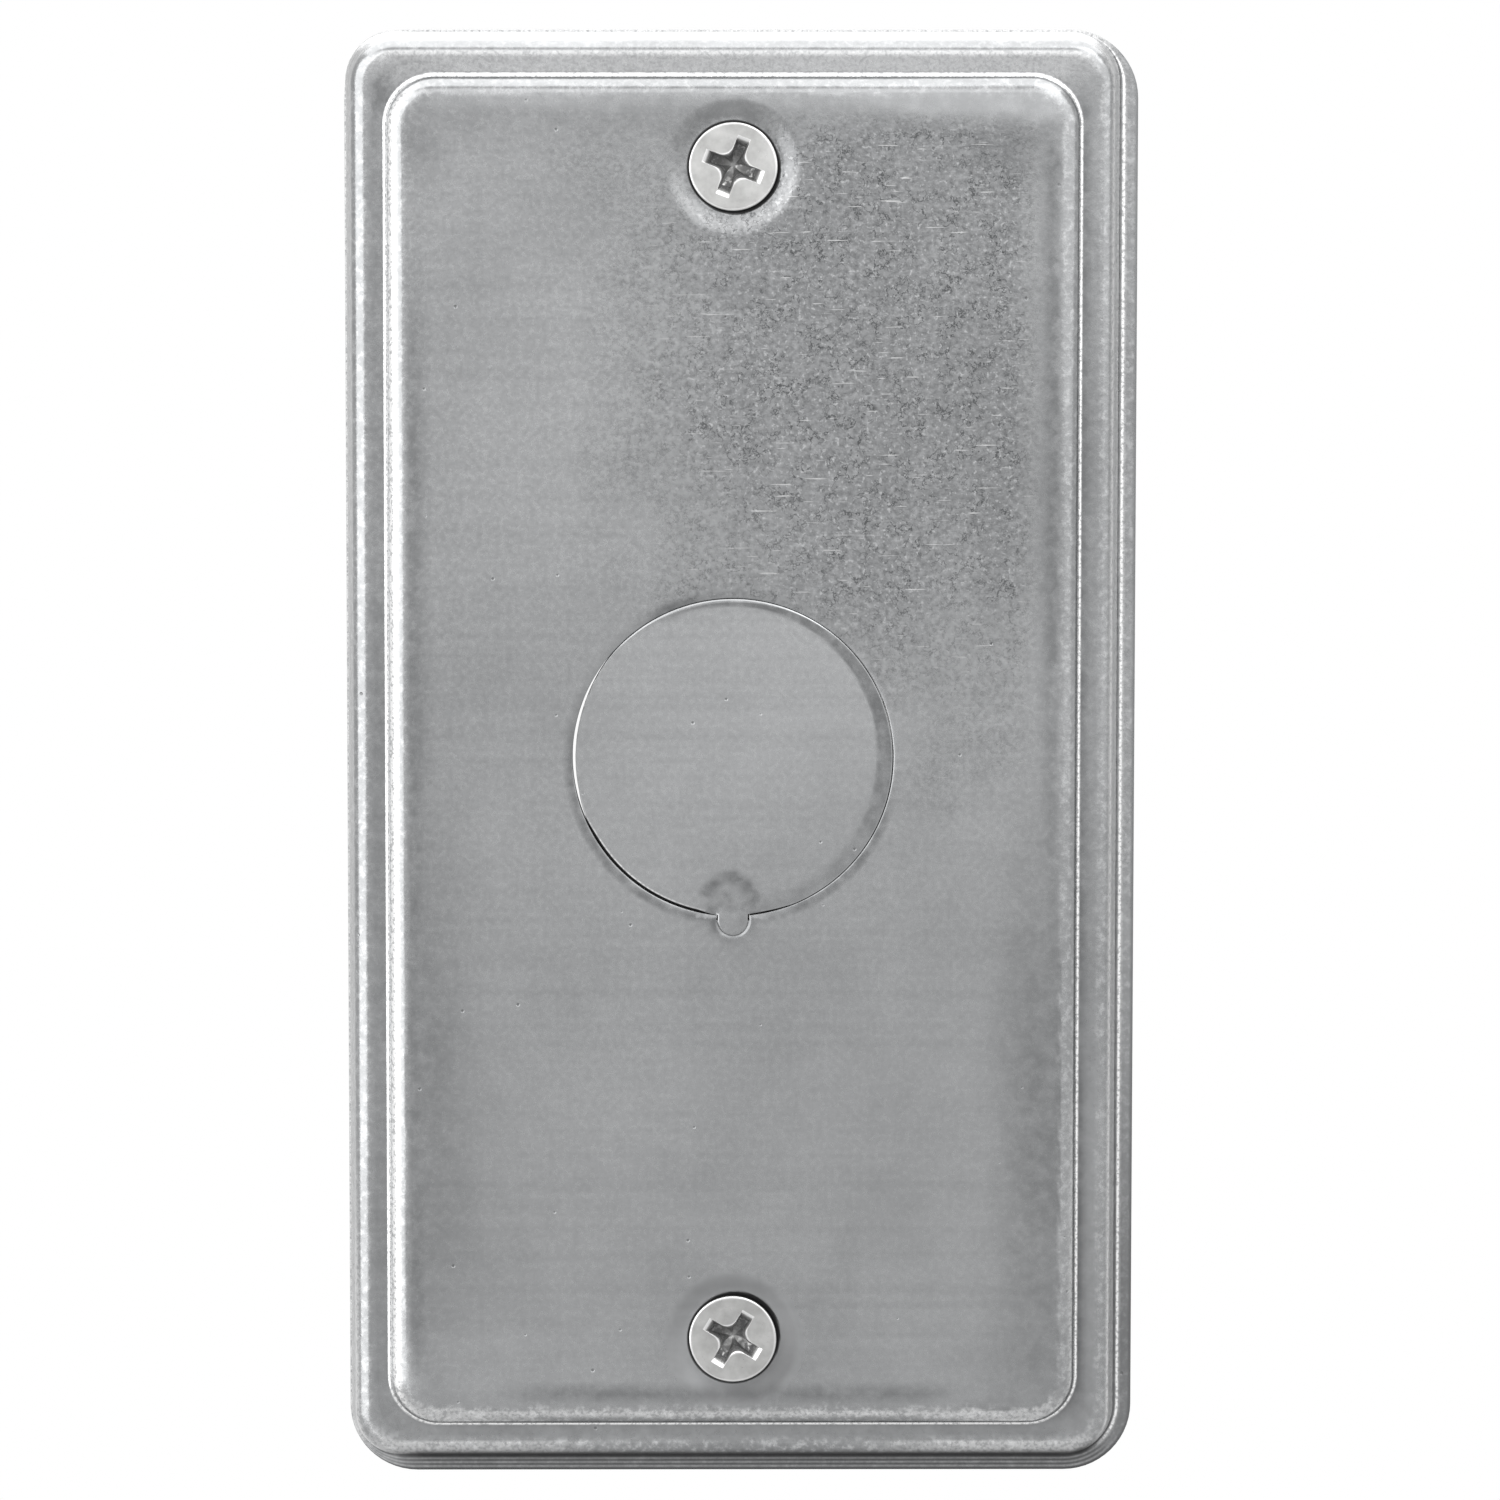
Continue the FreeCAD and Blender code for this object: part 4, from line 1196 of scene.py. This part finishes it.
@dataclass(frozen=True)
class GalvanisedSheet:
    """Hot-dip galvanised steel, pressed: a dull even grey, softly cloudy and finely mottled.

    Bends are brighter and speckled where the zinc has stretched, and cut edges are bare steel.
    """

    pale: str = "#9E9FA0"
    middle: str = "#909192"
    dark: str = "#6B6C6D"
    bare: str = "#6A6B6C"
    light: str = "#CDCECF"
    roughness: float = 0.25
    cloud: float = 16.0
    mottle: float = 0.42

    def build(self) -> bpy.types.Material:
        """Make the material."""
        material = new_material("galvanised_sheet")
        recipe = Recipe(material.node_tree)
        dark, light = linear(self.dark), linear(self.light)
        recipe.add(
            place=("PLACE",),
            plain=("SCALED", "place", 1000),
            **{mark.value: ("MARK", {"attribute_name": mark.value}) for mark in Mark},
            apart=("APART", "plain"),
            cloud=("GRAIN", "plain", 1 / self.cloud, 3.0),
            mottle=("GRAIN", "plain", 1 / self.mottle, 3.0, 0.6),
            # The upper right of the panel has rubbed against other covers: dulled and scratched.
            offset=("VECTORS", {"operation": "SUBTRACT"}, "plain", (14, 0, 30)),
            away=("LENGTH", ("VECTORS", {"operation": "MULTIPLY"}, "offset", (1 / 21, 0, 1 / 27))),
            ragged=("MULTIPLY_ADD", FREE, ("GRAIN", "plain", 1 / 9, 4.0, 0.6), 1.1, -0.55),
            far=("ADD", FREE, "away", "ragged"),
            from_middle=("LENGTH", ("MAP", "plain", (1, 0, 1))),
            patch=("MULTIPLY", ("SPREAD", "far", 1.25, 0.55),
                   ("SPREAD", "from_middle", 11.2, 11.6)),
            inside=("MULTIPLY", ("SPREAD", "apart.Z", 45.6, 44), ("SPREAD", "apart.X", 21.6, 19.6)),
            scuffed=("MULTIPLY", ("MULTIPLY", "patch", "inside"),
                     ("SPREAD", "apart.Y", -5.5, -5.8)),
            # Short scratches run across: 2 to 4 mm long and about 0.15 mm wide.
            dash=("SPREAD", ("GRAIN", ("MAP", "plain", (0.26, 1, 5.5), (0, 0.04, 0)), 1.0, 1.0),
                  0.75, 0.785),
            dash_two=("SPREAD", ("GRAIN", ("MAP", "plain", (0.5, 1, 7.5), (0, -0.1, 0)), 1.0, 1.0),
                      0.735, 0.775),
            scratches=("MULTIPLY", ("MAXIMUM", "dash", "dash_two"), "scuffed"),
            # Curls of dulled zinc, a third of a millimetre wide, lie in patches between them.
            folds=("COMPARE", FREE, ("GRAIN", "plain", 1 / 0.75, 3.0, 0.65), 0.5, 0.021),
            patches=("SPREAD", ("GRAIN", "plain", 1 / 1.6, 3.0), 0.42, 0.58),
            curls=("MULTIPLY", ("MULTIPLY", "folds", "patches"), "scuffed"),
            rolled=("GRAIN", ("MAP", "plain", (0.015, 1, 1.1)), 1.0, 3.0),
            streaks=("GRAIN", ("MAP", "plain", (1.1, 1, 0.03)), 1.0, 3.0),
            # Dark pits a fifth of a millimetre wide, one every few millimetres.
            cells=("CELLS", "plain", 0.42),
            pits=("MULTIPLY", ("SPREAD", "cells", 0.06, 0.035),
                  ("SPREAD", ("PARTS", "cells.Color"), 0.55, 0.6)),
        )
        recipe.add(
            cloudy=("MIX", ("SPREAD", "cloud", 0.3, 0.7), linear(self.middle), linear(self.pale)),
            fine=("SPREAD", "mottle", 0.3, 0.7),
            aloft=("MULTIPLY", ("SPREAD", "apart.Z", -20, 35, 0.04, 0.2),
                   ("SPREAD", "from_middle", 11.4, 12.2, 0.45, 1.0)),
            quiet=("MULTIPLY_ADD", FREE, "scuffed", 0.85, "aloft"),
            mottled=("MIX", ("MULTIPLY", ("SUBTRACT", 1.0, "fine"), "quiet"), "cloudy", dark),
            blotches=("SPREAD", ("GRAIN", "plain", 1 / 1.9, 3.0, 0.6), 0.38, 0.66),
            blotched=("MIX", ("MULTIPLY", ("MULTIPLY_ADD", "scuffed", 0.25, 0.1), "blotches"),
                      "mottled", dark),
            dulled=("MIX", ("MULTIPLY", "scuffed", 0.22), "blotched", dark),
            # The blank and the middle have been handled least, and are the palest.
            lifted=("MULTIPLY", ("SPREAD", "from_middle", 11.6, 11.1),
                    ("SPREAD", "apart.Z", -4, 9, 0.03, 0.16)),
            near=("LENGTH", ("VECTORS", {"operation": "MULTIPLY_ADD"}, "plain", (1 / 18, 0, 1 / 26),
                             (0.3, 0, -0.25))),
            clean=("MAXIMUM", "lifted", ("SPREAD", "near", 1.1, 0.4, 0.0, 0.04)),
            cleaned=("MIX", "clean", "dulled", light),
            milled=("MIX", ("MULTIPLY", ("SPREAD", "rolled", 0.45, 0.7), 0.12), "cleaned", dark),
            run=("MIX", ("MULTIPLY", ("SPREAD", "streaks", 0.5, 0.75), 0.15), "milled",
                 linear(self.pale)),
            curled=("MIX", ("MULTIPLY", "curls", 0.95), "run", linear("#505152")),
            flecks=("MULTIPLY", ("SPREAD", ("GRAIN", "plain", 1 / 0.3, 2.0, 0.6), 0.58, 0.68),
                    "scuffed"),
            flecked=("MIX", ("MULTIPLY", "flecks", 0.3), "curled", light),
            scratched=("MIX", ("MULTIPLY", "scratches", 0.5), "flecked", linear("#D8D8D8")),
            pitted=("MIX", ("MULTIPLY", "pits", 0.6), "scratched", linear("#4C4D4E")),
            # The zinc has crazed where the sheet was bent: flakes of a third of a millimetre.
            specks=("GRAIN", "plain", 1 / 0.5, 4.0, 0.65),
            flaked=("MIX",
                    ("MULTIPLY", ("MULTIPLY", "bend", ("SPREAD", "specks", 0.5, 0.66)), 0.55),
                    "pitted", linear("#D6D7D8")),
            crazed=("MIX",
                    ("MULTIPLY", ("MULTIPLY", "bend", ("SPREAD", "specks", 0.48, 0.34)), 0.3),
                    "flaked", dark),
            # Darkens towards bare steel where the mark is set: real stains and the punch's smudge,
            # and painted shade in the blank's rim, round the slit, on the lip and on the ledge.
            stain=("MULTIPLY", "rub",
                   ("SPREAD", ("GRAIN", "plain", 1 / 1.1, 4.0, 0.6), 0.34, 0.6, 0.5, 1.0)),
            stained=("MIX", ("MULTIPLY", "stain", 0.9), "crazed", linear(self.bare)),
            trimmed=("MIX", ("MULTIPLY", "cut", 0.7), "stained", linear(self.bare)),
            # Painted highlights: the pressed lines are painted near white, with nicks a tenth of a
            # millimetre deep.
            nicks=("SPREAD", ("GRAIN", "plain", 1 / 0.24, 2.0), 0.4, 0.52, -0.6, 0.15),
            pressed=("MIX", ("MULTIPLY", "coined", ("ADD", FREE, 1.0, "nicks")), "trimmed",
                     linear("#F0F0F0")),
            # Painted shade: near black where the shaded mark is set, in the seats' gaps, the slit,
            # the blank's rim, the lower dimple and along the lower and right rim.
            colour=("MIX", "shaded", "pressed", linear("#1E1E1F")),
            even=("MULTIPLY_ADD", FREE, "fine", 0.1, self.roughness - 0.05),
            worn=("MULTIPLY_ADD", FREE, "scuffed", 0.08, "even"),
            # Where shade is painted the surface is made rough and not metallic, so no shine is
            # left.
            rough=("MULTIPLY_ADD", FREE, "shaded", 0.6, "worn"),
            grit=("MULTIPLY_ADD", FREE, ("MULTIPLY", "bend", "specks"), 0.8,
                  ("MULTIPLY", FREE, "mottle", "quiet")),
            relief=("BUMP", ("SUBTRACT", FREE, "grit", "pits"), 0.6, 0.05 * MM),
            seen=("SURFACE", ("METAL", "colour", ("SUBTRACT", 1.0, "shaded"), "rough", "relief")),
        )
        return material


@dataclass(frozen=True)
class ZincPlating:
    """Bright zinc plating on a turned screw: pale, satin and even, with faint marks."""

    pale: str = "#B2B2B1"
    dark: str = "#9A9A99"
    roughness: float = 0.3

    def build(self) -> bpy.types.Material:
        """Make the material."""
        material = new_material("zinc_plating")
        Recipe(material.node_tree).add(
            place=("PLACE",),
            cloud=("GRAIN", "place", 1 / (1.4 * MM), 4.0, 0.6),
            fine=("GRAIN", "place", 1 / (0.15 * MM), 2.0),
            plated=("MIX", ("SPREAD", "cloud", 0.35, 0.7), linear(self.pale), linear(self.dark)),
            # Painted shade darkens the recess, save for flecks a quarter of a millimetre wide where
            # the plating shows.
            flecks=("SPREAD", ("GRAIN", "place", 1 / (0.3 * MM), 3.0, 0.6), 0.5, 0.62, 1.0, 0.15),
            mark=("MARK", {"attribute_name": Mark.SHADED.value}),
            shaded=("MULTIPLY", FREE, "mark", "flecks"),
            # A painted highlight lights the recess's top edges and the head's rim.
            worn=("MARK", {"attribute_name": Mark.COINED.value}),
            dirty=("MIX", "shaded", "plated", linear("#38383A")),
            colour=("MIX", "worn", "dirty", linear("#EEEEEE")),
            satin=("MULTIPLY_ADD", FREE, "fine", 0.12, self.roughness - 0.06),
            rough=("MULTIPLY_ADD", FREE, "shaded", 0.5, "satin"),
            relief=("BUMP", "fine", 0.25, 0.01 * MM),
            seen=("SURFACE", ("METAL", "colour", ("SUBTRACT", 1.0, "shaded"), "rough", "relief")),
        )
        return material


# The studio ---------------------------------------------------------------------------------------


@dataclass(frozen=True)
class Lamp:
    """A soft box: bearing and rise in degrees, distance and size in metres, and glow."""

    name: str
    bearing: float
    rise: float
    distance: float
    size: tuple[float, float]
    glow: float

    def build(self) -> None:
        """Add the lamp, aimed at the object, with the power that gives its glow."""
        light = bpy.data.lights.new(self.name, "AREA")
        light.shape = "RECTANGLE"
        light.size, light.size_y = self.size
        light.energy = self.glow * math.pi * self.size[0] * self.size[1]
        bearing, rise = math.radians(self.bearing), math.radians(self.rise)
        level = math.cos(rise) * self.distance
        place = (Vector((math.sin(bearing) * level, -math.cos(bearing) * level,
                         math.sin(rise) * self.distance)))
        lamp = bpy.data.objects.new(self.name, light)
        lamp.location = place
        lamp.rotation_mode = "QUATERNION"
        lamp.rotation_quaternion = (-place).to_track_quat("-Z", "Y")
        lamp.visible_camera = False
        link(lamp)


@dataclass(frozen=True)
class Studio:
    """A plain pale floor, soft light and the camera at the photograph's angle."""

    distance: float = 650.0
    pitch: float = 7.28
    yaw: float = 0.45
    roll: float = 0.04
    focal_pixels: float = 9134.0
    image: int = 1500
    aim: tuple[float, float] = (1.25, -0.25)
    floor_height: float = -300.0
    lamps: tuple[Lamp, ...] = (
        Lamp("front_left_box", -48, 12, 0.7, (0.95, 0.85), 2.1),
        Lamp("front_box", 8, 20, 1.0, (0.42, 0.7), 1.35),
        Lamp("upper_right_box", 42, 44, 0.8, (0.55, 0.5), 2.2),
        Lamp("top_box", 180, 80, 0.55, (1.1, 1.1), 2.0),
        Lamp("back_box", 180, 22, 0.9, (0.6, 0.35), 1.6),
        Lamp("right_box", 48, 12, 0.8, (0.8, 0.45), 1.1),
    )

    def build_camera(self) -> None:
        """Stand the camera where the photograph's perspective puts it."""
        p, y, r = (math.radians(v) for v in (self.pitch, self.yaw, self.roll))
        pitch = Matrix(((1, 0, 0), (0, math.cos(p), -math.sin(p)), (0, math.sin(p), math.cos(p))))
        yaw = Matrix(((math.cos(y), -math.sin(y), 0), (math.sin(y), math.cos(y), 0), (0, 0, 1)))
        roll = Matrix(((math.cos(r), 0, math.sin(r)), (0, 1, 0), (-math.sin(r), 0, math.cos(r))))
        back = (roll @ pitch @ yaw).transposed()
        right, ahead, up = (back @ Vector(v) for v in ((1, 0, 0), (0, 1, 0), (0, 0, 1)))
        camera = bpy.data.cameras.new("camera")
        camera.sensor_width = 36
        camera.lens = self.focal_pixels / self.image * camera.sensor_width
        camera.clip_start, camera.clip_end = 0.05, 20
        stand = bpy.data.objects.new("camera", camera)
        turned = Matrix((right, up, -ahead)).transposed().to_4x4()
        place = Vector((self.aim[0], 0, self.aim[1])) - ahead * self.distance
        stand.matrix_world = Matrix.Translation(place * MM) @ turned
        link(stand)
        bpy.context.scene.camera = stand

    def build_world(self) -> None:
        """White to the eye and in reflections, and a plain light on everything else."""
        world = bpy.data.worlds.new("studio")
        bpy.context.scene.world = world
        world.use_nodes = True
        Recipe(world.node_tree).add(
            rays=("RAYS",),
            seen=("MAXIMUM", FREE, "rays.Is Camera Ray", "rays.Is Glossy Ray"),
            shown=("MAXIMUM", FREE, "seen", "rays.Is Transmission Ray"),
            light=("SKY", (1, 1, 1, 1), ("SPREAD", "shown", 0.0, 1.0, 0.6, 1.0)),
            out=("WORLD", "light"),
        )

    def build_floor(self) -> None:
        """A wide white floor that keeps a soft shadow under the object."""
        mesh = bpy.data.meshes.new("floor")
        reach = 3.0
        corners = [(-reach, -reach), (reach, -reach), (reach, reach), (-reach, reach)]
        mesh.from_pydata([(x, y, self.floor_height * MM) for x, y in corners], [], [(0, 1, 2, 3)])
        floor = bpy.data.objects.new("floor", mesh)
        link(floor)
        material = new_material("white_floor")
        # Its share of plain white is full an arm's length from the object.
        Recipe(material.node_tree).add(
            rays=("RAYS",),
            away=("LENGTH", ("PLACE",)),
            eye=("MULTIPLY", FREE, "rays.Is Camera Ray", ("SPREAD", "away", 0.3, 0.8, 0.8, 1.0)),
            gloss=("MAXIMUM", FREE, "rays.Is Glossy Ray", "rays.Is Transmission Ray"),
            mirrored=("MULTIPLY", FREE, "gloss", ("SPREAD", "away", 0.3, 0.8, 0.85, 1.0)),
            share=("MAXIMUM", FREE, "eye", "mirrored"),
            paint=("MATT", linear("#A0A0A0")),
            out=("SURFACE", ("BOTH", "share", "paint", ("GLOW", (1, 1, 1, 1), 1.0))),
        )
        mesh.materials.append(material)

    def build(self) -> None:
        """Build all of it and set the view."""
        self.build_camera()
        self.build_world()
        self.build_floor()
        for lamp in self.lamps:
            lamp.build()
        bpy.context.scene.view_settings.view_transform = "Standard"


# All together -------------------------------------------------------------------------------------


def settle(piece: bpy.types.Object, node: str) -> None:
    """Put a finished piece in the place of its CAD node."""
    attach(piece, "root")
    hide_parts(node)
    LOG.info("%s: %d faces", piece.name, len(piece.data.polygons))


def main() -> None:
    """Build the cover, the screws and the studio."""
    logging.basicConfig(level=logging.INFO, format="%(name)s: %(message)s")
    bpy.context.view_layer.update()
    sheet = GalvanisedSheet().build()
    plating = ZincPlating().build()
    settle(Cover().build(sheet), "cover")
    tree = thread_tree()
    screws = (
        (FlatHeadScrew("upper_flat_head_screw", 1, 21.0, tilt_bearing=128), "upper_screw"),
        (FlatHeadScrew("lower_flat_head_screw", -1, 31.0, tilt_bearing=228), "lower_screw"),
    )
    for screw, node in screws:
        settle(screw.build(plating, tree), node)
    Studio().build()


if __name__ == "__main__":
    main()
